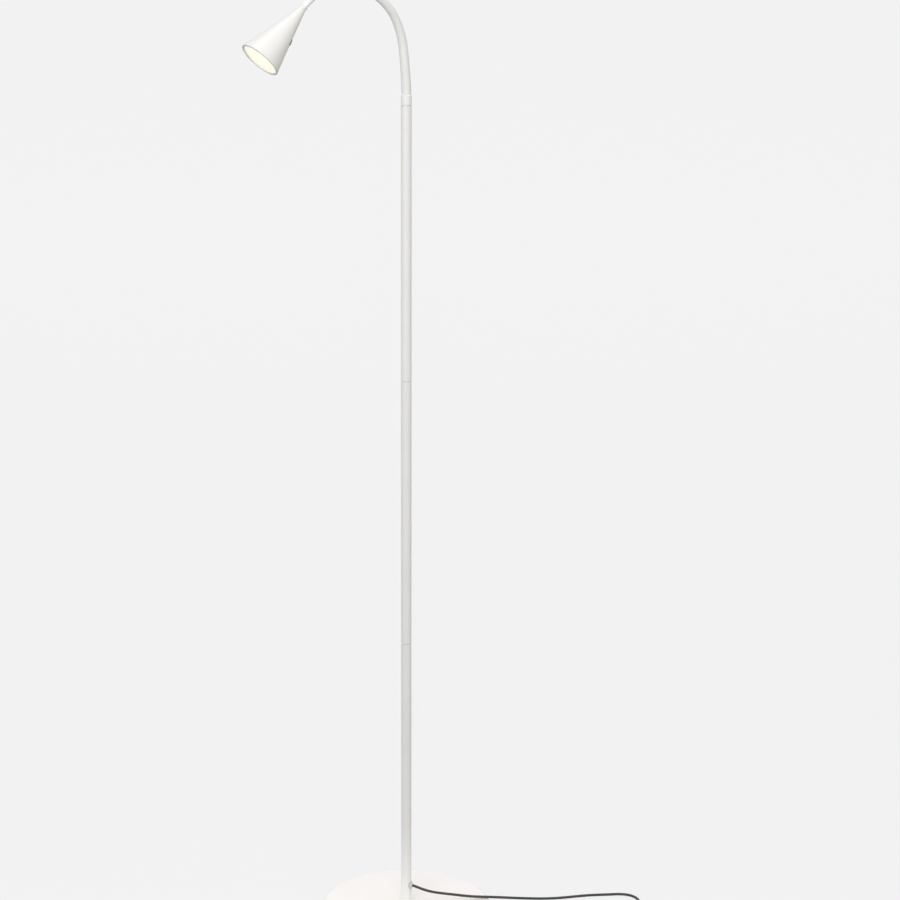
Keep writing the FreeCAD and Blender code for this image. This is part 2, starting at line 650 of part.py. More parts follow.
def make_optics():
    mouth = "Sizes.shade_length"
    lip = "(%s + Sizes.ring_lip)" % mouth
    lip_inside = "(%s + 0.5 * Sizes.ring_wall)" % RING_INSIDE
    ring = turned("ring", [(RING_INSIDE, RING_FOOT), (RING_OUTSIDE, RING_FOOT), (RING_OUTSIDE, mouth),
                           ("Sizes.shade_mouth_radius", mouth), ("Sizes.shade_mouth_radius", lip),
                           (lip_inside, lip), (RING_INSIDE, mouth)])
    dress(ring, "Fillet", [("Sizes.shade_mouth_radius", lip)], "0.5 * Sizes.ring_lip")
    node(ring, "lens_ring", head_place())

    blank = turned("lens_blank", [("0", LENS_BACK), (LENS_RADIUS, LENS_BACK), (LENS_RADIUS, LENS_FACE),
                                  ("0", LENS_FACE)])
    dimples = []
    for side in (-1, 1):
        dimple = cylinder("dimple", "Sizes.lens_dimple_radius", "2 * Sizes.lens_dimple_depth")
        dimple.setExpression("Placement.Base.y", "%d * Sizes.lens_dimple_place" % side)
        dimple.setExpression("Placement.Base.z", "%s - Sizes.lens_dimple_depth" % LENS_FACE)
        dimples.append(dimple)
    node(cut("lens_cut", blank, together("dimples", dimples)), "lens", head_place())

    flare = "(%s - Sizes.reflector_wall)" % LENS_RADIUS
    flange_back = "(%s - Sizes.reflector_wall)" % LENS_BACK
    throat_outside = "(Sizes.reflector_throat + Sizes.reflector_wall)"
    node(turned("reflector_body", [("Sizes.reflector_throat", BOARD_FACE), (throat_outside, BOARD_FACE),
                                   (flare, flange_back), (LENS_RADIUS, flange_back), (LENS_RADIUS, LENS_BACK),
                                   (flare, LENS_BACK)]), "reflector", head_place())


def screw_spots():
    """Where the board's two screws stand in the head's cross-section."""
    return [Vector(side * size("board_screw_place"), 0, 0) for side in (-1, 1)]


def make_light():
    """Heat sink, light board, chips and the board's screws."""
    wall = "(%s - Sizes.seat_gap)"
    plate_back = "(%s - Sizes.sink_plate)" % SINK_FACE
    sink_blank = turned("sink_blank", [
        ("Sizes.sink_bore_radius", SINK_BACK), ("Sizes.sink_hub_radius", SINK_BACK),
        ("Sizes.sink_hub_radius", plate_back), (wall % shade_inside(plate_back), plate_back),
        (wall % shade_inside(SINK_FACE), SINK_FACE), ("Sizes.sink_bore_radius", SINK_FACE)])
    fin_outside = wall % shade_inside(SINK_BACK)
    fin_inside = "(%s - 2 * Sizes.shade_wall)" % fin_outside
    rim = turned("sink_rim", [(fin_inside, SINK_BACK), (fin_outside, SINK_BACK), (fin_outside, plate_back),
                              (fin_inside, plate_back)])
    tools = []
    for index, spot in enumerate(screw_spots()):
        tap = cylinder("tap_%d" % index, "Sizes.board_screw_radius", "Sizes.board_screw_length",
                       Placement(spot, Rotation()))
        tap.setExpression("Placement.Base.z", "%s - Sizes.board_screw_length" % BOARD_FACE)
        tools.append(tap)
    screw_holes = together("screw_holes", tools)
    node(cut("sink", together("sink_whole", [sink_blank, rim]), screw_holes), "heat_sink", head_place())

    board = turned("board_blank", [
        ("Sizes.sink_bore_radius", SINK_FACE), ("Sizes.board_radius", SINK_FACE),
        ("Sizes.board_radius", BOARD_FACE), ("Sizes.sink_bore_radius", BOARD_FACE)])
    node(cut("board_cut", board, screw_holes), "light_board", head_place())

    chips = []
    for index in range(6):
        chip = doc.addObject("Part::Box", "chip_%d" % index)
        for side in ("Length", "Width"):
            chip.setExpression(side, "Sizes.chip_size")
        chip.setExpression("Height", "Sizes.chip_height")
        for axis, function in (("x", "cos"), ("y", "sin")):
            spot = "Sizes.chip_circle * %s(%d deg) - Sizes.chip_size / 2" % (function, 60 * index + 30)
            chip.setExpression("Placement.Base." + axis, spot)
        chip.setExpression("Placement.Base.z", BOARD_FACE)
        chips.append(chip)
    group = doc.addObject("Part::Compound", "chips")
    group.Links = chips
    node(group, "light_chips", head_place())

    screws = []
    for index, spot in enumerate(screw_spots()):
        thread = cylinder("screw_thread_%d" % index, "Sizes.board_screw_radius", "Sizes.board_screw_length",
                          Placement(spot, Rotation()))
        thread.setExpression("Placement.Base.z", "%s - Sizes.board_screw_length" % BOARD_FACE)
        head = cylinder("screw_head_%d" % index, "Sizes.board_screw_head", "Sizes.board_screw_radius",
                        Placement(spot, Rotation()))
        head.setExpression("Placement.Base.z", BOARD_FACE)
        screws.append(together("screw_%d" % index, [thread, head]))
    screw_group = doc.addObject("Part::Compound", "screws")
    screw_group.Links = screws
    node(screw_group, "board_screws", head_place())

    lead_start = "Sizes.shade_hub_length"
    node(turned("head_lead_core", [("0", lead_start), ("Sizes.lead_core_radius", lead_start),
                                   ("Sizes.lead_core_radius", BOARD_FACE), ("0", BOARD_FACE)]),
         "head_lead", head_place())


def make_switch():
    place = head_place().multiply(switch_place())
    bush_hole = "(Sizes.button_radius + Sizes.button_gap)"
    depth = "(-Sizes.bezel_depth)"
    bezel = turned("bezel", [(bush_hole, depth), ("Sizes.bezel_radius", depth),
                             ("Sizes.bezel_radius", "Sizes.bezel_proud"), (bush_hole, "Sizes.bezel_proud")])
    dress(bezel, "Fillet", [("Sizes.bezel_radius", "Sizes.bezel_proud")], "0.5 * Sizes.bezel_proud")
    node(bezel, "switch_bezel", place)

    end = "(-Sizes.bezel_depth - Sizes.switch_body_length)"
    well = "(-Sizes.bezel_depth - Sizes.button_travel - Sizes.button_gap)"
    node(turned("switch_case", [("0", end), ("Sizes.switch_body_radius", end),
                                ("Sizes.switch_body_radius", depth), (bush_hole, depth), (bush_hole, well),
                                ("0", well)]), "switch_body", place)

    button = turned("button", [("0", depth), ("Sizes.button_radius", depth),
                               ("Sizes.button_radius", "Sizes.button_proud"), ("0", "Sizes.button_proud")])
    dress(button, "Fillet", [("Sizes.button_radius", "Sizes.button_proud")], "0.5 * Sizes.button_proud")
    node(button, "switch_button", place)


# ----------------------------------------------------------------------------------------------------
# Lead: gland, run inside the pole, free run over the base and the floor, coil with its tie, driver plug
# ----------------------------------------------------------------------------------------------------
# Free run from the gland to the coil: distance out along the lay, distance across it, height.
FREE_RUN = [
    (14.8, -9.2, 53.8),
    (20.0, -11.4, 52.5),
    (26.0, -12.7, 50.6),
    (33.0, -12.4, 48.0),
    (41.0, -10.2, 44.9),
    (51.0, -6.0, 41.2),
    (63.0, -0.4, 37.1),
    (76.0, 5.4, 32.9),
    (91.0, 11.0, 28.4),
    (107.0, 15.8, 24.7),
    (124.0, 19.5, 22.4),
    (137.0, 22.9, 20.5),
    (152.5, 30.6, 16.3),
    (171.0, 43.8, 9.3),
    (191.0, 53.2, 4.2),
    (211.0, 56.2, 2.3),
    (231.0, 57.1, 2.1),
    (251.0, 60.0, 2.1),
    (271.0, 64.7, 2.1),
    (291.0, 69.0, 2.1),
    (310.0, 71.2, 2.1),
    (327.0, 72.2, 2.1),
    (344.0, 74.2, 2.1),
    (359.0, 70.9, 2.1),
    (369.8, 60.8, 2.1),
    (374.2, 46.6, 2.1),
    (374.6, 29.0, 2.2),
    (374.3, 10.0, 2.5),
    (374.6, -8.0, 3.1),
]
# From the coil to the driver: distance back from the coil's centre, sideways, height above the last turn.
TAIL_RUN = [
    (14.0, 0.0, -0.4),
    (31.0, 0.4, -4.9),
]
COIL_CENTRE = (345.1, -26.0)    # along the lay, across it
PLUG_REAR = 276.0               # driver's lead end, along the lay


def laid(along, across, height):
    """A point given along and across the lay of the lead, in the lamp's frame."""
    turn = Rotation(Vector(0, 0, 1), size("lay_turn"))
    return turn.multVec(Vector(along, across, height))


def arc_between(start, corner, finish):
    """The arc from start towards corner, which then reaches finish, both equally far from the corner."""
    back, ahead = start - corner, finish - corner
    reach = back.Length
    half = back.getAngle(ahead) / 2
    bisector = (back.normalize() + ahead.normalize()).normalize()
    middle = corner + bisector * (reach / math.cos(half) - reach * math.tan(half))
    return Part.Arc(start, middle, finish)


def rounded_path(points):
    """Straight runs joined by arcs as large as the runs allow; gives the wire and the arcs' radii."""
    edges, radii = [], []
    at = points[0]
    for before, corner, after in zip(points, points[1:], points[2:]):
        reach = 0.45 * min((corner - before).Length, (after - corner).Length)
        turn = (corner - before).getAngle(after - corner)
        start = corner + (before - corner).normalize() * reach
        finish = corner + (after - corner).normalize() * reach
        edges.append(Part.LineSegment(at, start).toShape())
        edges.append(arc_between(start, corner, finish).toShape())
        radii.append(reach / math.tan(turn / 2))
        at = finish
    edges.append(Part.LineSegment(at, points[-1]).toShape())
    return Part.Wire(edges), radii


def piped(wire, radius):
    """A round rod along a wire."""
    first = wire.Edges[0]
    start = first.valueAt(first.FirstParameter)
    along = first.tangentAt(first.FirstParameter)
    section = Part.Wire([Part.Circle(start, along, radius).toShape()])
    shell = Part.BRepOffsetAPI.MakePipeShell(wire)
    shell.add(section)
    shell.build()
    shell.makeSolid()
    return shell.shape()


def report_rod(label, solid, wire, radius, radii):
    expected = math.pi * radius ** 2 * wire.Length
    print("%s: length %.1f, volume ratio %.5f, radii %s" % (
        label, wire.Length, solid.Volume / expected, " ".join("%.0f" % bend for bend in radii)))


def gland_tip():
    """Distance from the pole's axis to the end of the gland's nose."""
    return size("pole_radius") + size("gland_thickness") + size("gland_nose_length")


def make_gland():
    """Oval flange that hugs the tube, shank through its hole, short nose round the lead."""
    radius, width, height = size("pole_radius"), size("gland_width"), size("gland_height")
    outer = radius + size("gland_thickness")
    oval = Part.makeBox(height - width, width, 2 * outer, Vector(-(height - width) / 2, -width / 2, 0))
    for side in (-1, 1):
        oval = oval.fuse(Part.makeCylinder(width / 2, 2 * outer, Vector(side * (height - width) / 2, 0, 0)))
    pole_axis = Vector(-1, 0, 0)
    foot = Vector(height, 0, 0)
    flange = Part.makeCylinder(outer, 2 * height, foot, pole_axis).cut(
        Part.makeCylinder(radius, 2 * height, foot, pole_axis)).common(oval)
    inside = size("pole_radius") - size("tube_wall")
    shank = Part.makeCylinder(size("gland_shank_radius"), radius - inside + size("gland_shank_tail"),
                              Vector(0, 0, inside))
    nose_end = size("cord_radius") + size("gland_nose_wall")
    nose = Part.makeCone(size("gland_shank_radius"), nose_end, gland_tip() - radius, Vector(0, 0, radius))
    bore = Part.makeCylinder(size("cord_radius"), 4 * outer, Vector(0, 0, 0))
    solid = flange.removeSplitter().fuse(shank).fuse(nose).cut(bore).removeSplitter()
    shaped("cord_gland", one_solid(solid), exit_place())


def make_inner_lead():
    """From the gland's nose inwards, up through a tight bend and along the pole's axis to the collar."""
    bend, radius = size("inner_bend_radius"), size("cord_radius")
    out = exit_place().Rotation.multVec(Vector(0, 0, 1))
    exit_point = Vector(0, 0, size("cord_exit_height"))
    start = exit_point + out * gland_tip()
    bend_start = exit_point + out * bend
    bend_end = exit_point + Vector(0, 0, bend)
    top = Vector(0, 0, value(NECK_JOINT) + size("spigot_length"))
    wire = Part.Wire([Part.LineSegment(start, bend_start).toShape(),
                      arc_between(bend_start, exit_point, bend_end).toShape(),
                      Part.LineSegment(bend_end, top).toShape()])
    solid = piped(wire, radius)
    report_rod("pole_lead", solid, wire, radius, [bend])
    shaped("pole_lead", solid)


def coil_point(turns):
    """The coil's middle line after so many turns: it spirals in and out, and climbs where it reverses."""
    per_layer = size("coil_turns") / size("coil_layers")
    half_width = size("coil_pitch") * per_layer / 2
    layer, into = divmod(turns, per_layer)
    swing = into / per_layer
    if layer % 2:
        swing = 1 - swing
    radius = size("coil_mean_radius") + half_width - 2 * half_width * swing
    climb = 0.0
    for index in range(1, int(size("coil_layers"))):
        climb += min(max((turns - index * per_layer + 0.25) / 0.5, 0.0), 1.0)
    angle = -2 * math.pi * turns
    return laid(COIL_CENTRE[0] + radius * math.cos(angle), COIL_CENTRE[1] + radius * math.sin(angle),
                size("coil_lift") + climb * size("coil_pitch"))


def coil_outside():
    """Radius of the coil's outermost middle line."""
    return size("coil_mean_radius") + size("coil_pitch") * size("coil_turns") / size("coil_layers") / 2


def biarc(start, leave, finish, arrive):
    """Two arcs that join two points and keep the directions there."""
    span = finish - start
    both = leave + arrive
    a = 2 * (1 - leave.dot(arrive))
    b = span.dot(both)
    c = span.dot(span)
    reach = c / (2 * b) if a < 1e-9 else (-b + math.sqrt(b * b + a * c)) / a
    first, second = start + leave * reach, finish - arrive * reach
    middle = (first + second) * 0.5
    return [arc_between(start, first, middle).toShape(), arc_between(middle, second, finish).toShape()]


COIL_STEPS = 4                  # directions taken per turn of the coil


def coil_wire():
    """Biarcs through points of the coil, with one cord's diameter of straight run at both ends."""
    total = size("coil_turns")
    count = int(round(total * COIL_STEPS))
    stops = [total * index / count for index in range(count + 1)]
    step = 0.02
    points, heads = [], []
    for stop in stops:
        before, after = coil_point(max(stop - step, 0.0)), coil_point(min(stop + step, total))
        points.append(coil_point(stop))
        heads.append((after - before).normalize())
    flat_start, flat_end = laid(0, -1, 0), laid(-1, 0, 0)
    heads[0], heads[-1] = flat_start, flat_end
    edges = [Part.LineSegment(points[0] - flat_start * 2 * size("cord_radius"), points[0]).toShape()]
    for index in range(count):
        edges += biarc(points[index], heads[index], points[index + 1], heads[index + 1])
    edges.append(Part.LineSegment(points[-1], points[-1] + flat_end * 2 * size("cord_radius")).toShape())
    return Part.Wire(edges)


def least_gap(wire, radius):
    """The least distance between the surfaces of two turns of one wire, on points along it."""
    per_turn = 40
    count = int(wire.Length / (2 * math.pi * size("coil_mean_radius")) * per_turn)
    points = wire.discretize(count)
    skip = per_turn // 3
    least = min((points[i] - points[j]).Length for i in range(count) for j in range(i + skip, count))
    return least - 2 * radius


def make_cord():
    radius = size("cord_radius")
    out = exit_place().Rotation.multVec(Vector(0, 0, 1))
    start = Vector(0, 0, size("cord_exit_height")) + out * gland_tip()
    coil = coil_wire()
    coil_start = coil.Edges[0].valueAt(coil.Edges[0].FirstParameter)
    last = coil.Edges[-1]
    coil_end = last.valueAt(last.LastParameter)

    wire, radii = rounded_path([start] + [laid(*point) for point in FREE_RUN] + [coil_start])
    solid = piped(wire, radius)
    report_rod("cord", solid, wire, radius, radii)
    shaped("cord", solid)

    coiled = piped(coil, radius)
    report_rod("cord_coil", coiled, coil, radius, [])
    print("cord_coil: least gap between turns %.2f" % least_gap(coil, radius))
    shaped("cord_coil", coiled)

    middle = size("plug_height") / 2
    across = COIL_CENTRE[1] - coil_outside()
    relief_end = PLUG_REAR + size("plug_relief_length")
    run = [coil_end]
    for back, aside, above in TAIL_RUN:
        run.append(laid(COIL_CENTRE[0] - back, across + aside, coil_end.z + above))
    wire, radii = rounded_path(run + [laid(relief_end, across, middle)])
    solid = piped(wire, radius)
    report_rod("cord_tail", solid, wire, radius, radii)
    shaped("cord_tail", solid)


def make_tie():
    """A strap round the turns, on the side of the coil that faces the base."""
    gap, thickness, radius = size("tie_gap"), size("tie_thickness"), size("cord_radius")
    half_width = coil_outside() - size("coil_mean_radius") + radius + gap
    low = size("coil_lift") - radius - gap
    high = size("coil_lift") + (size("coil_layers") - 1) * size("coil_pitch") + radius + gap

    def block(grow):
        width = size("tie_width") + 2 * (thickness - grow)
        solid = Part.makeBox(2 * (half_width + grow), width, high - low + 2 * grow,
                             Vector(-half_width - grow, -width / 2, low - grow))
        long_edges = [edge for edge in solid.Edges if abs(edge.tangentAt(edge.FirstParameter).y) > 0.9]
        return solid.makeFillet(size("tie_round") + grow, long_edges)

    strap = block(thickness).cut(block(0.0))
    lay = Rotation(Vector(0, 0, 1), size("lay_turn"))
    across_coil = Placement(laid(COIL_CENTRE[0], COIL_CENTRE[1], 0), lay)
    aside = Placement(Vector(-size("coil_mean_radius"), 0, 0), Rotation())
    shaped("cord_tie", strap, across_coil.multiply(aside))


def plug_place():
    """The driver's frame: X runs from the lead's end towards the pins, Z up, the origin on the floor."""
    across = COIL_CENTRE[1] - coil_outside()
    return Placement(laid(PLUG_REAR, across, 0), Rotation(Vector(0, 0, 1), size("lay_turn") + 180))


def make_plug():
    length, width, height = size("plug_length"), size("plug_width"), size("plug_height")
    wall, rounding, middle = size("plug_wall"), size("plug_round"), size("plug_height") / 2
    axis = Vector(1, 0, 0)

    full = Part.makeBox(length, width, height, Vector(0, -width / 2, 0))
    full = full.makeFillet(rounding, full.Edges)
    inside = Part.makeBox(length - 2 * wall, width - 2 * wall, height - 2 * wall,
                          Vector(wall, wall - width / 2, wall))
    inside = inside.makeFillet(rounding - wall, inside.Edges)
    case = full.cut(inside)
    pins, bare = [], []
    for side in (-1, 1):
        place = Vector(length - size("pin_root"), side * size("pin_spacing") / 2, middle)
        pin = Part.makeCylinder(size("pin_radius"), size("pin_root") + size("pin_length"), place, axis)
        bare.append(pin)
        tip = pin.Edges[[abs(edge.CenterOfMass.x - length - size("pin_length")) < 1e-3
                         for edge in pin.Edges].index(True)]
        pins.append(pin.makeFillet(0.7 * size("pin_radius"), [tip]))
    relief_neck = Part.makeCylinder(size("plug_relief_tip"), wall, Vector(0, 0, middle), axis)
    case = case.cut(bare[0]).cut(bare[1]).cut(relief_neck)
    upper_half = Part.makeBox(length, width, height, Vector(0, -width / 2, middle))
    shaped("plug_base", one_solid(case.cut(upper_half)), plug_place())
    shaped("plug_cover", one_solid(case.common(upper_half)), plug_place())
    shaped("plug_pins", Part.makeCompound(pins), plug_place())

    tail = size("plug_relief_tail")
    relief = Part.makeCone(size("plug_relief_root"), size("plug_relief_tip"), size("plug_relief_length"),
                           Vector(0, 0, middle), Vector(-1, 0, 0))
    anchor = Part.makeCylinder(size("plug_relief_root"), tail, Vector(wall, 0, middle), axis)
    shaped("plug_relief", one_solid(relief.fuse(relief_neck).fuse(anchor)), plug_place())

    inset = size("plug_board_inset")
    board_top = middle - size("pin_radius")
    board_start = wall + tail + inset
    board_end = length - wall - inset
    thickness = size("plug_board_thickness")
    board = Part.makeBox(board_end - board_start, width - 2 * wall - 2 * inset, thickness,
                         Vector(board_start, wall + inset - width / 2, board_top - thickness))
    shaped("plug_board", board, plug_place())
    side = size("transformer_size")
    block = Part.makeBox(side, side, size("transformer_height"),
                         Vector(board_start + 2 * inset, -side / 2, board_top))
    shaped("plug_transformer", block, plug_place())


# ----------------------------------------------------------------------------------------------------
# Build, check and write
# ----------------------------------------------------------------------------------------------------
make_base()
make_pole()
make_neck()
make_shade()
make_optics()
make_light()
make_switch()
make_gland()
make_inner_lead()
make_cord()
make_tie()
make_plug()
doc.recompute()

for thing in doc.Objects:
    if "Invalid" in thing.State or "Error" in thing.State:
        raise RuntimeError("%s failed: %s" % (thing.Label, thing.State))
for piece in NODES:
    if piece.Shape.isNull() or not piece.Shape.isValid() or not piece.Shape.Solids:
        raise RuntimeError("%s has no sound shape" % piece.Label)

os.makedirs("parts", exist_ok=True)
for piece in NODES:
    piece.Shape.exportStep(os.path.join("parts", piece.Label + ".step"))
print("%d sub-parts written" % len(NODES))
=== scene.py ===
"""Gooseneck reading floor lamp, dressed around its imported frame.

Lengths in the settings are metres. The frame's origin is the centre of the base's underside, +Z runs up
the pole, and the neck arches towards -X.
"""
import json
import math

import bmesh
import bpy
from bpy.props import FloatProperty, FloatVectorProperty, IntProperty, PointerProperty
from mathutils import Matrix, Vector


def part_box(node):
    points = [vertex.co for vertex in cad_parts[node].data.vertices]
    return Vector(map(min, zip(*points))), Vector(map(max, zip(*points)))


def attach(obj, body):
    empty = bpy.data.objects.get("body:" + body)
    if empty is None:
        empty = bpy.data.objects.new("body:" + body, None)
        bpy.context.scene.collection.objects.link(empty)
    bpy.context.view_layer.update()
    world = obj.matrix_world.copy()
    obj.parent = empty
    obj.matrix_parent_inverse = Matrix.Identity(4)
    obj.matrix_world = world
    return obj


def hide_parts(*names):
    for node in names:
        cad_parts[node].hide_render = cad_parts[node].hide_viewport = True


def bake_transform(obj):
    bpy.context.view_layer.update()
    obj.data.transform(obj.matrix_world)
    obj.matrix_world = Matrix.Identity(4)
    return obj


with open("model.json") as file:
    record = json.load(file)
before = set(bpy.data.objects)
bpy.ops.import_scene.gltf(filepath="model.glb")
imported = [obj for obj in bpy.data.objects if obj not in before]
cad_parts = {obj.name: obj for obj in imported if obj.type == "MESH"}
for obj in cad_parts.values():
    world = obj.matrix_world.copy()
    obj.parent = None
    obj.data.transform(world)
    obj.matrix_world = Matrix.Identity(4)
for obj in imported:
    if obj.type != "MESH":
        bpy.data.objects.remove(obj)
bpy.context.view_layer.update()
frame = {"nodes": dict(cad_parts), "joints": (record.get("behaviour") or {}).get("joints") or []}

bl_info = {
    "name": "Gooseneck Reading Lamp",
    "version": (1, 0, 0),
    "blender": (4, 5, 0),
    "location": "View3D > Sidebar > Reading Lamp",
    "description": "Builds a floor lamp with a flexible neck, a cone head and a low-voltage lead",
    "category": "Object",
}

MM = 0.001
UP = Vector((0.0, 0.0, 1.0))


# ---------------------------------------------------------------------------------------------------
# Settings
# ---------------------------------------------------------------------------------------------------
def screen(red, green, blue):
    """A screen's colour, 0 to 255, as the linear one that a shader takes."""
    def linear(level):
        level /= 255.0
        return level / 12.92 if level <= 0.04045 else ((level + 0.055) / 1.055) ** 2.4
    return (linear(red), linear(green), linear(blue))


def colour(name, description, default):
    return FloatVectorProperty(name=name, description=description, default=default, size=3, subtype="COLOR",
                               min=0.0, max=1.0)


def length(name, description, default):
    return FloatProperty(name=name, description=description, default=default, unit="LENGTH", min=0.0)


class LampFinish(bpy.types.PropertyGroup):
    """Colours of the lamp."""
    paint: colour("Paint", "Powder coat of the pole", screen(247, 246, 243))
    # Painted shade: the shade has the same white coat as the pole, and this colour is that white made darker to stand
    # for the weaker light on the shade.
    shade_paint_with_painted_shade: colour("Shade paint", "Powder coat of the shade", screen(234, 233, 229))
    # Painted light: the base has the same white coat as the pole, and this colour is that white made lighter to stand
    # for the stronger light on the base's top.
    base_paint_with_painted_light: colour("Base paint", "Powder coat of the base", screen(251, 247, 244))
    sleeve: colour("Neck sleeve", "Soft sleeve over the gooseneck", screen(246, 246, 243))
    lens: colour("Lens", "Diffusing lens", screen(252, 250, 232))
    # The lens ring is a real part; its grey stands partly for its own colour and partly for painted shade along the
    # mouth's edge.
    ring: colour("Lens ring", "Ring that holds the lens", screen(226, 226, 222))
    gland: colour("Gland", "Oval flange where the lead leaves the pole", screen(214, 214, 210))
    switch: colour("Switch bush", "Bush round the push button", screen(190, 190, 188))
    button: colour("Button", "Cap of the push button", screen(160, 160, 158))
    lead: colour("Lead", "Jacket of the lead", screen(58, 58, 59))
    plug: colour("Driver", "Shells of the plug-in driver", screen(48, 48, 50))
    pad: colour("Pad", "Soft pad under the base", screen(205, 205, 200))


class LampShape(bpy.types.PropertyGroup):
    """Sizes of the pieces that are made here."""
    neck_root: length("Neck root", "Sleeve radius at the pole", 7.3 * MM)
    neck_tip: length("Neck tip", "Sleeve radius at the head", 4.7 * MM)
    shade_length: length("Shade length", "Narrow end to mouth", 99.7 * MM)
    shade_neck: length("Shade neck", "Outer radius at the narrow end", 5.1 * MM)
    shade_mouth: length("Shade mouth", "Outer radius at the mouth", 31.8 * MM)
    shade_flare: length("Shade flare", "Hollow of the cone's profile at its middle", 0.3 * MM)
    shade_wall: length("Shade wall", "Thickness of the shade", 1.2 * MM)
    cord_radius: length("Lead radius", "Radius of the lead", 2.1 * MM)
    round_sides: IntProperty(name="Round sides", description="Facets round a turned piece", default=96, min=24)


class LampStage(bpy.types.PropertyGroup):
    """Camera, light and backdrop."""
    backdrop: colour("Backdrop", "Floor and background", screen(242, 242, 242))
    camera_turn: FloatProperty(name="Camera turn", description="Camera's place round the lamp",
                               default=math.radians(-36.0), subtype="ANGLE")
    camera_tilt: FloatProperty(name="Camera tilt", description="How far the camera looks down",
                               default=math.radians(17.5), subtype="ANGLE")
    camera_reach: length("Camera reach", "Camera to the pole, along the floor", 4.998)
    camera_height: length("Camera height", "Camera above the floor", 2.352)
    camera_lens: FloatProperty(name="Focal length", description="Lens of the camera, in millimetres",
                               default=137.52, min=1.0)
    camera_shift: FloatProperty(name="Camera shift", description="Sideways shift of the frame",
                                default=0.04856)
    key_power: FloatProperty(name="Key light", description="Large soft lamp in front of the object", default=22.0,
                             unit="POWER")
    top_power: FloatProperty(name="Top light", description="Large soft lamp far above", default=29.0, unit="POWER")
    ambient: FloatProperty(name="Ambient", description="Even light from all round", default=0.76, min=0.0)
    bounce: FloatProperty(name="Floor bounce", description="Share of the light that the floor gives back to the lamp",
                          default=0.13, min=0.0, max=1.0)
    shadow_share: FloatProperty(name="Floor shadow", description="How much of the floor's own shading shows",
                                default=0.14, min=0.0, max=1.0)


# ---------------------------------------------------------------------------------------------------
# Materials
# ---------------------------------------------------------------------------------------------------
class Finish:
    """A procedural material: nodes are added by name and joined by their sockets."""

    def __init__(self, name, roughness, **sockets):
        self.material = bpy.data.materials.new(name)
        self.material.use_nodes = True
        self.tree = self.material.node_tree
        self.surface = self.tree.nodes["Principled BSDF"]
        self.surface.inputs["Roughness"].default_value = roughness
        for socket, setting in sockets.items():
            self.surface.inputs[socket.replace("_", " ")].default_value = setting
        self.where = self.add("ShaderNodeTexCoord").outputs["Object"]

    def add(self, kind, **settings):
        made = self.tree.nodes.new(kind)
        for name, setting in settings.items():
            setattr(made, name, setting)
        return made

    def join(self, output, target):
        self.tree.links.new(output, target)

    def stretched(self, scale):
        """Object coordinates scaled along each axis."""
        mapping = self.add("ShaderNodeMapping")
        mapping.inputs["Scale"].default_value = scale
        self.join(self.where, mapping.inputs["Vector"])
        return mapping.outputs["Vector"]

    def noise(self, scale, detail=2.0, rough=0.5, where=None):
        made = self.add("ShaderNodeTexNoise")
        made.inputs["Scale"].default_value = scale
        made.inputs["Detail"].default_value = detail
        made.inputs["Roughness"].default_value = rough
        self.join(where or self.where, made.inputs["Vector"])
        return made.outputs["Fac"]

    def remap(self, value, low, high, from_low=0.3, from_high=0.7):
        made = self.add("ShaderNodeMapRange")
        for socket, setting in (("From Min", from_low), ("From Max", from_high),
                                ("To Min", low), ("To Max", high)):
            made.inputs[socket].default_value = setting
        self.join(value, made.inputs["Value"])
        return made.outputs["Result"]

    def shades(self, value, stops):
        """A ramp of colours over a value: pairs of place and linear colour."""
        ramp = self.add("ShaderNodeValToRGB")
        elements = ramp.color_ramp.elements
        while len(elements) < len(stops):
            elements.new(0.5)
        for element, (place, tone) in zip(elements, stops):
            element.position = place
            element.color = (*tone, 1.0)
        self.join(value, ramp.inputs["Fac"])
        return ramp.outputs["Color"]

    def paint(self, output):
        self.join(output, self.surface.inputs["Base Color"])

    def roughen(self, output):
        self.join(output, self.surface.inputs["Roughness"])

    def bumps(self, *layers):
        """Bump maps laid over each other: (height, strength, depth in metres)."""
        normal = None
        for height, strength, depth in layers:
            bump = self.add("ShaderNodeBump")
            bump.inputs["Strength"].default_value = strength
            bump.inputs["Distance"].default_value = depth
            self.join(height, bump.inputs["Height"])
            if normal is not None:
                self.join(normal, bump.inputs["Normal"])
            normal = bump.outputs["Normal"]
        self.join(normal, self.surface.inputs["Normal"])


def tone(base, factor):
    """A colour made lighter or darker."""
    return tuple(min(channel * factor, 1.0) for channel in base)


def tinted(base, red, green, blue):
    return tuple(min(channel * change, 1.0) for channel, change in zip(base, (red, green, blue)))


def powder_coat(name, base, gloss=0.36):
    """Satin powder coat: a fine orange peel, faint cloudiness and a little handling wear."""
    finish = Finish(name, gloss, Coat_Weight=0.12, Coat_Roughness=0.25)
    cloud = finish.noise(9.0, 3.0, 0.55)
    finish.paint(finish.shades(cloud, [(0.30, tinted(base, 0.972, 0.970, 0.962)), (0.52, base),
                                       (0.75, tone(base, 1.02))]))
    finish.roughen(finish.remap(finish.noise(160.0, 4.0, 0.6), gloss - 0.06, gloss + 0.08))
    finish.bumps((finish.noise(620.0, 1.5, 0.4), 0.10, 0.06 * MM),
                 (finish.noise(2600.0, 1.0, 0.5), 0.05, 0.02 * MM))
    return finish.material


def soft_sleeve(name, base):
    """Matt elastomer: fine dull grain with faint rubbed patches."""
    finish = Finish(name, 0.48, Sheen_Weight=0.06, Sheen_Roughness=0.4)
    finish.paint(finish.shades(finish.noise(26.0, 4.0, 0.6), [(0.3, tinted(base, 0.975, 0.972, 0.965)), (0.6, base)]))
    finish.roughen(finish.remap(finish.noise(240.0, 3.0, 0.6), 0.42, 0.56))
    finish.bumps((finish.noise(1500.0, 2.0, 0.5), 0.12, 0.04 * MM))
    return finish.material


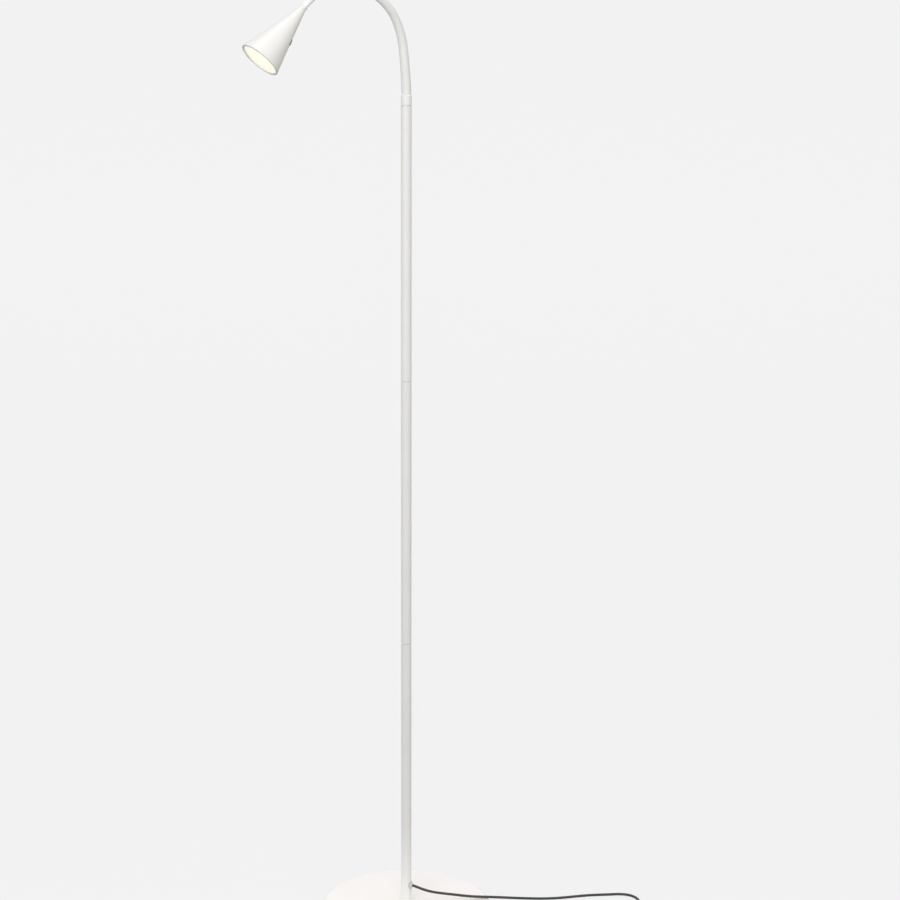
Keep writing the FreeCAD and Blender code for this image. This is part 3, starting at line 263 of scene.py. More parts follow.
def moulded(name, base, gloss=0.45, grain=900.0, depth=0.05):
    """Injection-moulded plastic: spark-eroded grain and slight flow marks."""
    finish = Finish(name, gloss)
    flow = finish.noise(38.0, 3.0, 0.6, finish.stretched((1.0, 1.0, 0.35)))
    finish.paint(finish.shades(flow, [(0.3, tone(base, 0.93)), (0.55, base), (0.8, tone(base, 1.06))]))
    finish.roughen(finish.remap(finish.noise(310.0, 4.0, 0.6), gloss - 0.07, gloss + 0.09))
    finish.bumps((finish.noise(grain, 3.0, 0.6), 0.25, depth * MM))
    return finish.material


def lead_jacket(name, base):
    """Flexible jacket of the lead: dull, with fine extrusion lines and dust."""
    finish = Finish(name, 0.46, Sheen_Weight=0.08, Sheen_Roughness=0.5)
    dust = finish.noise(70.0, 5.0, 0.65)
    finish.paint(finish.shades(dust, [(0.28, tone(base, 0.86)), (0.55, base), (0.86, tone(base, 1.35))]))
    finish.roughen(finish.remap(finish.noise(420.0, 3.0, 0.6), 0.38, 0.56))
    finish.bumps((finish.noise(1300.0, 2.0, 0.5), 0.18, 0.05 * MM))
    return finish.material


def turned_steel(name, base=screen(176, 177, 180), stretch=(1.0, 1.0, 40.0)):
    """Machined steel with tool marks across its axis and a few dull stains."""
    finish = Finish(name, 0.32, Metallic=1.0)
    marks = finish.noise(90.0, 4.0, 0.6, finish.stretched(stretch))
    finish.paint(finish.shades(finish.noise(60.0, 4.0, 0.6), [(0.3, tone(base, 0.82)), (0.6, base),
                                                             (0.85, tone(base, 1.08))]))
    finish.roughen(finish.remap(marks, 0.24, 0.42))
    finish.bumps((marks, 0.15, 0.03 * MM))
    return finish.material


def raw_casting(name):
    """Sand-cast iron: coarse skin, dark with rusty freckles."""
    base = screen(92, 92, 94)
    finish = Finish(name, 0.72, Metallic=0.5)
    freckles = finish.noise(240.0, 6.0, 0.7)
    finish.paint(finish.shades(freckles, [(0.3, tone(base, 0.6)), (0.55, base), (0.8, screen(120, 96, 80))]))
    finish.bumps((finish.noise(420.0, 5.0, 0.7), 0.6, 0.3 * MM))
    return finish.material


def frosted_lens(name, base, glow, middle, reach):
    """Opal lens: milky, faintly pebbled, lit from behind and a little brighter in the middle."""
    finish = Finish(name, 0.34, Subsurface_Weight=0.15, Subsurface_Scale=0.004, IOR=1.49)
    cloud = finish.noise(55.0, 3.0, 0.5)
    finish.paint(finish.shades(cloud, [(0.3, tinted(base, 0.99, 0.985, 0.95)), (0.65, base)]))
    finish.join(finish.shades(cloud, [(0.3, screen(255, 252, 226)), (0.65, screen(255, 253, 238))]),
                finish.surface.inputs["Emission Color"])
    away = finish.add("ShaderNodeVectorMath", operation="DISTANCE")
    away.inputs[1].default_value = middle
    finish.join(finish.where, away.inputs[0])
    finish.join(finish.remap(away.outputs["Value"], glow * 1.08, glow * 0.9, 0.0, reach),
                finish.surface.inputs["Emission Strength"])
    finish.roughen(finish.remap(finish.noise(500.0, 2.0, 0.5), 0.28, 0.42))
    finish.bumps((finish.noise(1100.0, 1.0, 0.4), 0.10, 0.03 * MM))
    return finish.material


# ---------------------------------------------------------------------------------------------------
# Mesh helpers
# ---------------------------------------------------------------------------------------------------
def finished_object(name, mesh, material, sharp=40.0):
    """An object of a mesh, with smooth faces, sharp edges and its material."""
    mesh.polygons.foreach_set("use_smooth", [True] * len(mesh.polygons))
    mesh.set_sharp_from_angle(angle=math.radians(sharp))
    mesh.materials.clear()
    mesh.materials.append(material)
    made = bpy.data.objects.new(name, mesh)
    bpy.context.scene.collection.objects.link(made)
    return made


def mesh_from(name, vertices, faces):
    """A mesh with its normals turned outwards."""
    mesh = bpy.data.meshes.new(name)
    mesh.from_pydata(vertices, [], faces)
    shape = bmesh.new()
    shape.from_mesh(mesh)
    bmesh.ops.remove_doubles(shape, verts=shape.verts, dist=1e-7)
    bmesh.ops.recalc_face_normals(shape, faces=shape.faces)
    shape.to_mesh(mesh)
    shape.free()
    return mesh


def rounded(corners, radii, steps=5):
    """An outline with rounded corners: each is (radius, height), and a radius of 0 keeps it sharp."""
    points = []
    count = len(corners)
    for index in range(count):
        corner = Vector(corners[index])
        reach = radii[index] if index < len(radii) else 0.0
        if reach <= 0.0:
            points.append(corner)
            continue
        back = (Vector(corners[index - 1]) - corner).normalized()
        ahead = (Vector(corners[(index + 1) % count]) - corner).normalized()
        half = back.angle(ahead) / 2
        centre = corner + (back + ahead).normalized() * (reach / math.sin(half))
        start = corner + back * (reach / math.tan(half)) - centre
        finish = corner + ahead * (reach / math.tan(half)) - centre
        sweep = start.angle_signed(finish)
        for step in range(steps + 1):
            turned = Matrix.Rotation(-sweep * step / steps, 2) @ start
            points.append(centre + turned)
    return points


def lathe_mesh(name, outline, sides, place=Matrix.Identity(4)):
    """A closed ring or solid: an outline of (radius, height), turned about Z and set in its place."""
    vertices, faces, rings = [], [], []
    for radius, height in outline:
        if radius < 1e-7:
            rings.append([len(vertices)] * sides)
            vertices.append(Vector((0.0, 0.0, height)))
            continue
        rings.append([len(vertices) + side for side in range(sides)])
        for side in range(sides):
            angle = 2 * math.pi * side / sides
            vertices.append(Vector((radius * math.cos(angle), radius * math.sin(angle), height)))
    for index in range(len(rings)):
        near, far = rings[index], rings[(index + 1) % len(rings)]
        if near[0] == near[1] and far[0] == far[1]:
            continue
        for side in range(sides):
            after = (side + 1) % sides
            corners = [near[side], near[after], far[after], far[side]]
            face = [corner for spot, corner in enumerate(corners) if corner not in corners[:spot]]
            if len(face) > 2:
                faces.append(face)
    return mesh_from(name, [place @ vertex for vertex in vertices], faces)


def turned_to(axis):
    """The turn that brings the Z axis onto another one."""
    return UP.rotation_difference(axis).to_matrix().to_4x4()


def bored(mesh, centre, axis, radius, depth, sides=48):
    """The mesh with a round hole cut through it."""
    base = bpy.data.objects.new("bored", mesh)
    place = Matrix.Translation(centre) @ turned_to(axis)
    drill = bpy.data.objects.new("drill", lathe_mesh(
        "drill", [(0, -depth), (radius, -depth), (radius, depth), (0, depth)], sides, place))
    for piece in (base, drill):
        bpy.context.scene.collection.objects.link(piece)
    cut = base.modifiers.new("hole", "BOOLEAN")
    cut.operation = "DIFFERENCE"
    cut.solver = "EXACT"
    cut.object = drill
    bpy.context.view_layer.update()
    result = bpy.data.meshes.new_from_object(base.evaluated_get(bpy.context.evaluated_depsgraph_get()))
    for piece in (base, drill):
        bpy.data.objects.remove(piece)
    return result


def dress_nodes(material, *names):
    """Gives CAD nodes a material, and smooths their round faces."""
    for name in names:
        node = frame["nodes"][name]
        node.data.materials.clear()
        node.data.materials.append(material)
        node.data.polygons.foreach_set("use_smooth", [True] * len(node.data.polygons))
        node.data.set_sharp_from_angle(angle=math.radians(35.0))


# ---------------------------------------------------------------------------------------------------
# The neck's middle line, read from the joints
# ---------------------------------------------------------------------------------------------------
HEAD_POINT = Vector((-183.3605, 0.0, 1473.9623)) * MM    # where the neck enters the head
NECK_BODIES = ["stand"] + ["link_%d" % index for index in range(1, 7)] + ["head"]
COLLAR_LENGTH = 4.0 * MM            # collar on the head's narrow end, which the sleeve stops at


def neck_knots():
    """The neck's start, its joints and its end: arcs run from each to the next without a kink."""
    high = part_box("neck_ferrule")[1]
    start = Vector((0.0, 0.0, high.z))
    hinges = [Vector(joint["pos_m"]) for joint in frame["joints"] if joint["type"] == "hinge"]
    return [start] + hinges + [HEAD_POINT]


class Arc:
    """An arc in the XZ plane from a point with a heading (from +Z towards -X) to another point."""

    def __init__(self, start, heading, finish):
        chord = finish - start
        lean = math.atan2(-chord.x, chord.z)
        self.start, self.heading, self.turn = start, heading, 2 * (lean - heading)
        half = self.turn / 2
        self.length = chord.length * (half / math.sin(half) if abs(half) > 1e-6 else 1.0)

    def at(self, share):
        turn = self.turn * share
        half = turn / 2
        reach = self.length * share * (math.sin(half) / half if abs(half) > 1e-6 else 1.0)
        lean = self.heading + half
        point = self.start + Vector((-math.sin(lean), 0.0, math.cos(lean))) * reach
        return point, self.heading + turn


def neck_arcs():
    arcs, heading = [], 0.0
    knots = neck_knots()
    for start, finish in zip(knots, knots[1:]):
        arc = Arc(start, heading, finish)
        arcs.append(arc)
        heading += arc.turn
    return arcs


def head_place():
    """The head's frame: Z runs from its narrow end to the mouth, X in the bend's plane, off the pole."""
    heading = sum(arc.turn for arc in neck_arcs())
    axis = Vector((-math.sin(heading), 0.0, math.cos(heading)))
    across = Vector((math.cos(heading), 0.0, math.sin(heading)))
    side = axis.cross(across)
    turn = Matrix((across, side, axis)).transposed().to_4x4()
    return Matrix.Translation(HEAD_POINT) @ turn


class LAMP_OT_neck(bpy.types.Operator):
    """The neck's soft sleeve: tapered lengths that each bend over one joint of the neck"""
    bl_idname = "lamp.neck"
    bl_label = "Neck sleeve"
    rings = 30
    sides = 56

    def execute(self, context):
        shape, finish = context.scene.lamp_shape, context.scene.lamp_finish
        skin = soft_sleeve("neck_sleeve_skin", finish.sleeve)
        arcs = neck_arcs()
        whole = sum(arc.length for arc in arcs)
        passed = 0.0
        halves = []
        for index, arc in enumerate(arcs):
            middle = 0.5 if index else 0.0
            if index == len(arcs) - 1:
                middle = 1.0 - COLLAR_LENGTH / arc.length
            halves.append((arc, passed, middle))
            passed += arc.length
        for index in range(len(arcs) - 1):
            (before, before_at, before_middle), (after, after_at, after_middle) = halves[index], halves[index + 1]
            spots = []
            for step in range(self.rings):
                share = before_middle + (1 - before_middle) * step / self.rings
                spots.append((before.at(share), before_at + before.length * share))
            for step in range(self.rings + 1):
                share = after_middle * step / self.rings
                spots.append((after.at(share), after_at + after.length * share))
            mesh = self.tube("neck_skin_%d" % (index + 1), spots, whole, shape)
            made = finished_object("neck_skin_%d" % (index + 1), mesh, skin, 60.0)
            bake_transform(made)
            replaced = (0, 1) if index == 0 else (index + 1,)
            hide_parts(*["neck_sleeve_%d" % number for number in replaced])
        dress_nodes(turned_steel("gooseneck_steel", stretch=(1.0, 1.0, 12.0)),
                    *["neck_core_%d" % index for index in range(len(NECK_BODIES))])
        return {"FINISHED"}

    def tube(self, name, spots, whole, shape):
        vertices, faces = [], []
        aside = Vector((0.0, 1.0, 0.0))
        for (point, heading), travelled in spots:
            radius = shape.neck_root + (shape.neck_tip - shape.neck_root) * travelled / whole
            across = Vector((math.cos(heading), 0.0, math.sin(heading)))
            for side in range(self.sides):
                angle = 2 * math.pi * side / self.sides
                vertices.append(point + (across * math.cos(angle) + aside * math.sin(angle)) * radius)
        for ring in range(len(spots) - 1):
            for side in range(self.sides):
                after = (side + 1) % self.sides
                faces.append([ring * self.sides + side, ring * self.sides + after,
                              (ring + 1) * self.sides + after, (ring + 1) * self.sides + side])
        last = (len(spots) - 1) * self.sides
        faces.append(list(range(self.sides)))
        faces.append([last + side for side in range(self.sides)])
        return mesh_from(name, vertices, faces)


# ---------------------------------------------------------------------------------------------------
# Base and pole
# ---------------------------------------------------------------------------------------------------
BASE_WALL = 1.5 * MM                # sheet of the base cover
BASE_HOLE = 4.3 * MM                # radius of the hole for the bolt
BASE_EDGE = 5.0 * MM                # rounding of the cover's upper edge
TUBE_RADIUS = 8.0 * MM
TUBE_WALL = 1.2 * MM
FOOT_BEVEL = 0.4 * MM               # bevel under the foot of a tube
TOP_BEVEL = 0.2 * MM                # broken edge at the top of a tube
GLAND_HOLE = 3.8 * MM               # radius of the hole for the gland
NECK_SEAM = 1.2 * MM                # open seam under the neck's collar
SEAM_DEPTH = 1.9 * MM               # how far that seam goes in
COLLAR_BORE = 5.05 * MM             # radius of the collar's lower bore, over the stud
COLLAR_WEB = 2.7 * MM               # radius of the passage between its bores
CORE_BORE = 3.2 * MM                # radius of the bores that take the gooseneck, in the collar and the shade
CORE_DEPTH = 6.5 * MM               # gooseneck in the collar
STUD_DEPTH = 9.05 * MM              # stud in the collar
COLLAR_EDGE = 1.0 * MM              # bevel of the collar's upper edge


class LAMP_OT_base(bpy.types.Operator):
    """The base: painted cover, pad, weight and bolt"""
    bl_idname = "lamp.base"
    bl_label = "Base"

    def execute(self, context):
        finish, shape = context.scene.lamp_finish, context.scene.lamp_shape
        # The cover's colour is the pole's white made lighter: painted light.
        paint = powder_coat("white_powder_coat_base_with_painted_light", finish.base_paint_with_painted_light, 0.5)
        low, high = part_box("base_cover")
        edge, top, bottom = high.x, high.z, low.z
        outline = rounded(
            [(edge - BASE_WALL, bottom), (edge, bottom), (edge, top), (BASE_HOLE, top), (BASE_HOLE, top - BASE_WALL),
             (edge - BASE_WALL, top - BASE_WALL)],
            [0.3 * MM, 0.5 * MM, BASE_EDGE, 0, 0, BASE_EDGE - BASE_WALL], 10)
        mesh = lathe_mesh("base_shell", outline, 2 * shape.round_sides)
        cover = finished_object("base_shell", mesh, paint)
        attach(cover, "stand")
        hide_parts("base_cover")
        dress_nodes(moulded("pad_foam", finish.pad, 0.8, 700.0, 0.12), "base_pad", "bolt_cap")
        dress_nodes(raw_casting("cast_weight"), "base_weight")
        dress_nodes(turned_steel("zinc_steel"), "base_bolt", "base_washer", "foot_socket")
        return {"FINISHED"}


class LAMP_OT_pole(bpy.types.Operator):
    """The pole: three tubes with bevelled ends, their studs and sockets, the collar and the gland"""
    bl_idname = "lamp.pole"
    bl_label = "Pole"

    def execute(self, context):
        finish, shape = context.scene.lamp_finish, context.scene.lamp_shape
        paint = powder_coat("white_powder_coat_pole", finish.paint)
        sides = shape.round_sides
        out = Vector((math.cos(EXIT_TURN), math.sin(EXIT_TURN), 0.0))
        for name in ("lower_tube", "middle_tube", "upper_tube"):
            low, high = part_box(name)
            radius = TUBE_RADIUS
            outline = [(radius - TUBE_WALL, low.z), (radius - FOOT_BEVEL, low.z), (radius, low.z + FOOT_BEVEL),
                       (radius, high.z - TOP_BEVEL), (radius - TOP_BEVEL, high.z), (radius - TUBE_WALL, high.z)]
            mesh = lathe_mesh(name + "_shell", outline, sides)
            if name == "lower_tube":
                mesh = bored(mesh, out * radius + UP * CORD_EXIT_HEIGHT, out, GLAND_HOLE, radius * 0.9)
            tube = finished_object(name + "_shell", mesh, paint)
            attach(tube, "stand")
            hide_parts(name)
        low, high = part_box("neck_ferrule")
        foot, seat, stud = low.z + NECK_SEAM, high.z - CORE_DEPTH, low.z + STUD_DEPTH
        outline = rounded(
            [(COLLAR_BORE, low.z), (TUBE_RADIUS - SEAM_DEPTH, low.z), (TUBE_RADIUS - SEAM_DEPTH, foot),
             (TUBE_RADIUS - FOOT_BEVEL, foot), (TUBE_RADIUS, foot + FOOT_BEVEL),
             (TUBE_RADIUS, high.z - COLLAR_EDGE), (TUBE_RADIUS - COLLAR_EDGE, high.z), (CORE_BORE, high.z),
             (CORE_BORE, seat), (COLLAR_WEB, seat), (COLLAR_WEB, stud), (COLLAR_BORE, stud)],
            [0, 0, 0, 0, 0, 0.5 * MM, 0.3 * MM], 4)
        collar = finished_object("collar_shell", lathe_mesh("collar_shell", outline, sides), paint)
        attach(collar, "stand")
        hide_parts("neck_ferrule")
        dress_nodes(turned_steel("joint_steel"), "lower_joint_stud", "lower_joint_socket", "upper_joint_stud",
                    "upper_joint_socket", "neck_joint_stud")
        dress_nodes(moulded("gland_plastic", finish.gland, 0.42), "cord_gland")
        dress_nodes(lead_jacket("inner_lead_jacket", finish.lead), "pole_lead")
        return {"FINISHED"}


# ---------------------------------------------------------------------------------------------------
# Head
# ---------------------------------------------------------------------------------------------------
HUB_DEPTH = 13.0 * MM               # solid narrow end of the shade, measured from its end
HEAD_COLLAR = 5.5 * MM              # outer radius of the head's collar
SWITCH_ALONG = 52.5 * MM            # switch's place along the shade
SWITCH_TURN = math.radians(52.0)    # switch's place round the shade
SWITCH_HOLE = 5.1 * MM              # radius of the hole for the switch
SWITCH_DEPTH = -3.4 * MM            # inner end of the bush and the cap, from the shade's skin
BUSH_BORE, BUSH_RADIUS, BUSH_TOP = 4.0 * MM, 5.0 * MM, 0.5 * MM
CAP_RADIUS, CAP_TOP, CAP_DISH = 3.7 * MM, 0.9 * MM, 0.25 * MM
RING_SEAT = 96.2 * MM               # inner end of the lens ring along the shade
RING_WALL = 0.7 * MM
RING_LIP = 0.9 * MM                 # how far the ring stands proud of the mouth
FIT = 0.1 * MM                      # play round the ring and the lens
LENS_SUNK = 0.6 * MM                # lens edge below the mouth
LENS_THICKNESS = 2.0 * MM
LENS_CROWN = 0.25 * MM
DIMPLE_AT, DIMPLE_RADIUS = 16.5 * MM, 1.3 * MM


def shade_curve(shape):
    """The centre (radius, height) and radius of the shade's outer arc."""
    spread = shape.shade_mouth - shape.shade_neck
    chord = math.hypot(spread, shape.shade_length)
    bow = (chord * chord / 4 + shape.shade_flare ** 2) / (2 * shape.shade_flare)
    offset = bow - shape.shade_flare
    across = (shape.shade_neck + shape.shade_mouth) / 2 + shape.shade_length / chord * offset
    along = shape.shade_length / 2 - spread / chord * offset
    return across, along, bow


def shade_radius(shape, height, inset=0.0):
    across, along, bow = shade_curve(shape)
    return across - math.sqrt((bow + inset) ** 2 - (height - along) ** 2)


def switch_place(shape):
    """The switch's frame in the head: its Z axis points out of the shade's wall."""
    across, along, bow = shade_curve(shape)
    slope = math.asin((SWITCH_ALONG - along) / bow)
    turn = math.pi + SWITCH_TURN
    outward = Vector((math.cos(turn), math.sin(turn), 0.0))
    normal = outward * math.cos(slope) - UP * math.sin(slope)
    spot = outward * shade_radius(shape, SWITCH_ALONG) + UP * SWITCH_ALONG
    return Matrix.Translation(spot) @ turned_to(normal)


class LAMP_OT_head(bpy.types.Operator):
    """The head: cone shade with its ring and lens, and the light inside"""
    bl_idname = "lamp.head"
    bl_label = "Head"

    def execute(self, context):
        finish, shape = context.scene.lamp_finish, context.scene.lamp_shape
        sides = 2 * shape.round_sides
        place = head_place()
        # The shade's colour is the pole's white made darker: painted shade.
        paint = powder_coat("white_powder_coat_shade_with_painted_shade", finish.shade_paint_with_painted_shade, 0.38)
        wall = shape.shade_wall
        heights = [shape.shade_length * step / 40 for step in range(41)]
        outside = [(shade_radius(shape, height), height) for height in heights]
        inside = [(shade_radius(shape, height, wall), height) for height in heights if height > HUB_DEPTH + 0.2 * MM]
        hub = [(shade_radius(shape, HUB_DEPTH, wall), HUB_DEPTH), (CORE_BORE, HUB_DEPTH), (CORE_BORE, 0.0)]
        mesh = lathe_mesh("shade_shell", outside + inside[::-1] + hub, sides, place)
        spot = place @ switch_place(shape)
        mesh = bored(mesh, spot.translation, spot.to_3x3() @ UP, SWITCH_HOLE, 9.0 * MM, 64)
        shade = finished_object("shade_shell", mesh, paint, 30.0)
        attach(shade, "head")
        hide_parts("shade")

        collar_outline = rounded([(CORE_BORE, -COLLAR_LENGTH), (HEAD_COLLAR, -COLLAR_LENGTH), (HEAD_COLLAR, 0.0),
                                  (CORE_BORE, 0.0)], [0, 0.7 * MM, 0.35 * MM, 0], 5)
        collar = finished_object("head_collar_ring", lathe_mesh("head_collar_ring", collar_outline, sides, place),
                                 paint)
        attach(collar, "head")
        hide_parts("head_collar")

        self.ring(finish, shape, sides, place)
        self.lens(finish, shape, sides, place)
        dress_nodes(turned_steel("nut_steel"), "core_nut", "board_screws")
        dress_nodes(turned_steel("sink_aluminium", screen(196, 198, 200)), "heat_sink")
        dress_nodes(moulded("reflector_gloss", screen(244, 244, 242), 0.2), "reflector")
        dress_nodes(moulded("board_lacquer", screen(232, 234, 232), 0.35), "light_board")
        dress_nodes(moulded("chip_phosphor", screen(240, 214, 110), 0.3), "light_chips")
        dress_nodes(lead_jacket("head_lead_jacket", finish.lead), "head_lead")
        return {"FINISHED"}

    def ring(self, finish, shape, sides, place):
        outer = shade_radius(shape, RING_SEAT, shape.shade_wall) - FIT
        inner, rim, mouth = outer - RING_WALL, shape.shade_mouth, shape.shade_length
        lip = mouth + RING_LIP
        outline = rounded(
            [(inner, RING_SEAT), (outer, RING_SEAT), (outer, mouth), (rim, mouth), (rim, lip),
             (inner + 0.35 * MM, lip), (inner, mouth)],
            [0, 0, 0, 0.2 * MM, 0.4 * MM, 0.25 * MM, 0], 5)
        # The ring's grey: partly its own colour, partly painted shade along the mouth's edge.
        made = finished_object("lens_ring_bezel", lathe_mesh("lens_ring_bezel", outline, sides, place),
                               moulded("ring_plastic_with_painted_shade", finish.ring, 0.36))
        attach(made, "head")
        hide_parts("lens_ring")

    def lens(self, finish, shape, sides, place):
        face = shape.shade_length - LENS_SUNK
        back = face - LENS_THICKNESS
        edge = shade_radius(shape, RING_SEAT, shape.shade_wall) - FIT - RING_WALL - FIT
        rings = [edge * step / 24 for step in range(24)]
        crown = [(radius, face + LENS_CROWN * (1 - (radius / edge) ** 2)) for radius in rings]
        outline = crown + [(edge - 0.3 * MM, face), (edge, face - 0.3 * MM), (edge, back), (0.0, back)]
        mesh = lathe_mesh("lens_face", outline, sides, place)
        for side in (-1, 1):
            centre = place @ Vector((0.0, side * DIMPLE_AT, face + 0.9 * MM))
            mesh = bored(mesh, centre, place.to_3x3() @ UP, DIMPLE_RADIUS, 1.2 * MM, 32)
        opal = frosted_lens("opal_lens", finish.lens, 0.53, place @ Vector((0.0, 0.0, face)), edge)
        made = finished_object("lens_face", mesh, opal)
        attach(made, "head")
        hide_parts("lens")


class LAMP_OT_switch(bpy.types.Operator):
    """The push switch in the shade's side"""
    bl_idname = "lamp.switch"
    bl_label = "Push switch"

    def execute(self, context):
        finish, shape = context.scene.lamp_finish, context.scene.lamp_shape
        place = head_place() @ switch_place(shape)
        sides = shape.round_sides
        bush_outline = rounded([(BUSH_BORE, SWITCH_DEPTH), (BUSH_RADIUS, SWITCH_DEPTH), (BUSH_RADIUS, BUSH_TOP),
                                (BUSH_BORE, BUSH_TOP)], [0, 0, 0.3 * MM, 0.15 * MM], 5)
        bush = finished_object("switch_bush", lathe_mesh("switch_bush", bush_outline, sides, place),
                               moulded("bush_plastic", finish.switch, 0.4))
        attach(bush, "head")
        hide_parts("switch_bezel")
        cap_outline = rounded([(0.0, SWITCH_DEPTH), (CAP_RADIUS, SWITCH_DEPTH), (CAP_RADIUS, CAP_TOP),
                               (2.6 * MM, CAP_TOP), (1.4 * MM, CAP_TOP - 0.7 * CAP_DISH), (0.0, CAP_TOP - CAP_DISH)],
                              [0, 0.2 * MM, 0.45 * MM, 0], 6)
        cap = finished_object("button_cap", lathe_mesh("button_cap", cap_outline, sides, place),
                              moulded("button_plastic", finish.button, 0.38))
        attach(cap, "switch_button")
        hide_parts("switch_button")
        dress_nodes(moulded("switch_case_plastic", screen(70, 70, 72), 0.45), "switch_body")
        return {"FINISHED"}


# ---------------------------------------------------------------------------------------------------
# Lead and driver
# ---------------------------------------------------------------------------------------------------
CORD_EXIT_HEIGHT = 54.2 * MM
CORD_EXIT_REACH = 12.0 * MM         # gland's nose, from the pole's axis
EXIT_TURN = math.radians(-68.0)     # gland's place round the pole
LAY = math.radians(-36.0)           # heading of the lead over the floor
# Free run from the gland: distance out along the lay, distance across it, height, in metres.
FREE_RUN = [
    (0.0148, -0.0092, 0.0538),
    (0.0200, -0.0114, 0.0525),
    (0.0260, -0.0127, 0.0506),
    (0.0330, -0.0124, 0.0480),
    (0.0410, -0.0102, 0.0449),
    (0.0510, -0.0060, 0.0412),
    (0.0630, -0.0004, 0.0371),
    (0.0760, 0.0054, 0.0329),
    (0.0910, 0.0110, 0.0284),
    (0.1070, 0.0158, 0.0247),
    (0.1240, 0.0195, 0.0224),
    (0.1370, 0.0229, 0.0205),
    (0.1525, 0.0306, 0.0163),
    (0.1710, 0.0438, 0.0093),
    (0.1910, 0.0532, 0.0042),
    (0.2110, 0.0562, 0.0023),
    (0.2310, 0.0571, 0.0021),
    (0.2510, 0.0600, 0.0021),
    (0.2710, 0.0647, 0.0021),
    (0.2910, 0.0690, 0.0021),
    (0.3100, 0.0712, 0.0021),
    (0.3270, 0.0722, 0.0021),
    (0.3440, 0.0742, 0.0021),
    (0.3590, 0.0709, 0.0021),
    (0.3698, 0.0608, 0.0021),
    (0.3742, 0.0466, 0.0021),
    (0.3746, 0.0290, 0.0022),
    (0.3743, 0.0100, 0.0025),
    (0.3746, -0.0080, 0.0031),
]
# From the coil to the driver: distance back from the coil's centre, sideways, height above the last turn.
TAIL_RUN = [
    (0.0140, 0.0000, -0.0004),
    (0.0310, 0.0004, -0.0049),
]
COIL_ALONG, COIL_ACROSS = 0.3451, -0.0260                       # centre of the coil in the lay
COIL_MEAN, COIL_PITCH, COIL_LIFT = 0.0240, 0.0047, 0.0034       # mean radius, step of a turn, lowest turn
COIL_LAYERS, COIL_TURNS, COIL_POINTS = 4, 9.25, 16              # points are those of one turn
PLUG_REAR, PLUG_RELIEF, PLUG_MIDDLE = 0.2760, 0.0160, 0.0120    # driver's end, its relief, its middle's height
RELIEF_HOLD = 0.004                                             # lead inside the relief


def laid(along, across, height):
    """A point given along and across the lay of the lead, in the lamp's frame."""
    return Vector((along * math.cos(LAY) - across * math.sin(LAY),
                   along * math.sin(LAY) + across * math.cos(LAY), height))


def coil_outside():
    return COIL_MEAN + COIL_PITCH * COIL_TURNS / COIL_LAYERS / 2


def coil_points():
    """Points of the coil: it spirals in and out again, and climbs a layer where it reverses."""
    per_layer = COIL_TURNS / COIL_LAYERS
    half_width = COIL_PITCH * per_layer / 2
    points = []
    count = int(COIL_TURNS * COIL_POINTS)
    grow = 1 / math.cos(math.pi / COIL_POINTS)
    for index in range(count + 1):
        turns = COIL_TURNS * index / count
        layer, into = divmod(turns, per_layer)
        swing = into / per_layer
        if layer % 2:
            swing = 1 - swing
        radius = (COIL_MEAN + half_width - 2 * half_width * swing) * grow
        climb = sum(min(max((turns - step * per_layer + 0.25) / 0.5, 0.0), 1.0)
                    for step in range(1, COIL_LAYERS))
        angle = -2 * math.pi * turns
        points.append(laid(COIL_ALONG + radius * math.cos(angle), COIL_ACROSS + radius * math.sin(angle),
                           COIL_LIFT + climb * COIL_PITCH))
    return points


def plug_place():
    """The driver's frame: X runs from the lead's end towards the pins, Z up, on the floor."""
    spot = laid(PLUG_REAR, COIL_ACROSS - coil_outside(), 0.0)
    return Matrix.Translation(spot) @ Matrix.Rotation(LAY + math.pi, 4, "Z")


class LAMP_OT_cord(bpy.types.Operator):
    """The lead: one round cord from the gland over the base and the floor, through its coil to the driver"""
    bl_idname = "lamp.cord"
    bl_label = "Lead"

    def execute(self, context):
        finish, shape = context.scene.lamp_finish, context.scene.lamp_shape
        start = Vector((CORD_EXIT_REACH * math.cos(EXIT_TURN), CORD_EXIT_REACH * math.sin(EXIT_TURN),
                        CORD_EXIT_HEIGHT))
        route = [start] + [laid(*point) for point in FREE_RUN]
        route += coil_points()
        across = COIL_ACROSS - coil_outside()
        coil_end = route[-1].z
        route += [laid(COIL_ALONG - back, across + aside, coil_end + above) for back, aside, above in TAIL_RUN]
        route.append(laid(PLUG_REAR + PLUG_RELIEF - RELIEF_HOLD, across, PLUG_MIDDLE))
        curve = bpy.data.curves.new("lead_cord", "CURVE")
        curve.dimensions = "3D"
        curve.bevel_depth = shape.cord_radius
        curve.bevel_resolution = 6
        curve.use_fill_caps = True
        curve.resolution_u = 8
        spline = curve.splines.new("NURBS")
        spline.points.add(len(route) - 1)
        for point, spot in zip(spline.points, route):
            point.co = (*spot, 1.0)
        spline.order_u = 3
        spline.use_endpoint_u = True
        cord = bpy.data.objects.new("lead_cord", curve)
        bpy.context.scene.collection.objects.link(cord)
        curve.materials.append(lead_jacket("lead_jacket", finish.lead))
        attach(cord, "stand")
        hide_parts("cord", "cord_coil", "cord_tail")
        dress_nodes(moulded("tie_strap", tone(finish.plug, 0.8), 0.5), "cord_tie")
        dress_nodes(moulded("relief_plastic", finish.plug, 0.5), "plug_relief")
        dress_nodes(moulded("driver_plastic", finish.plug, 0.5, 1200.0, 0.08), "plug_base", "plug_cover")
        dress_nodes(turned_steel("pin_nickel", screen(200, 196, 186)), "plug_pins")
        dress_nodes(moulded("driver_board", screen(40, 96, 58), 0.35), "plug_board")
        dress_nodes(moulded("transformer_tape", screen(214, 186, 70), 0.55), "plug_transformer")
        return {"FINISHED"}


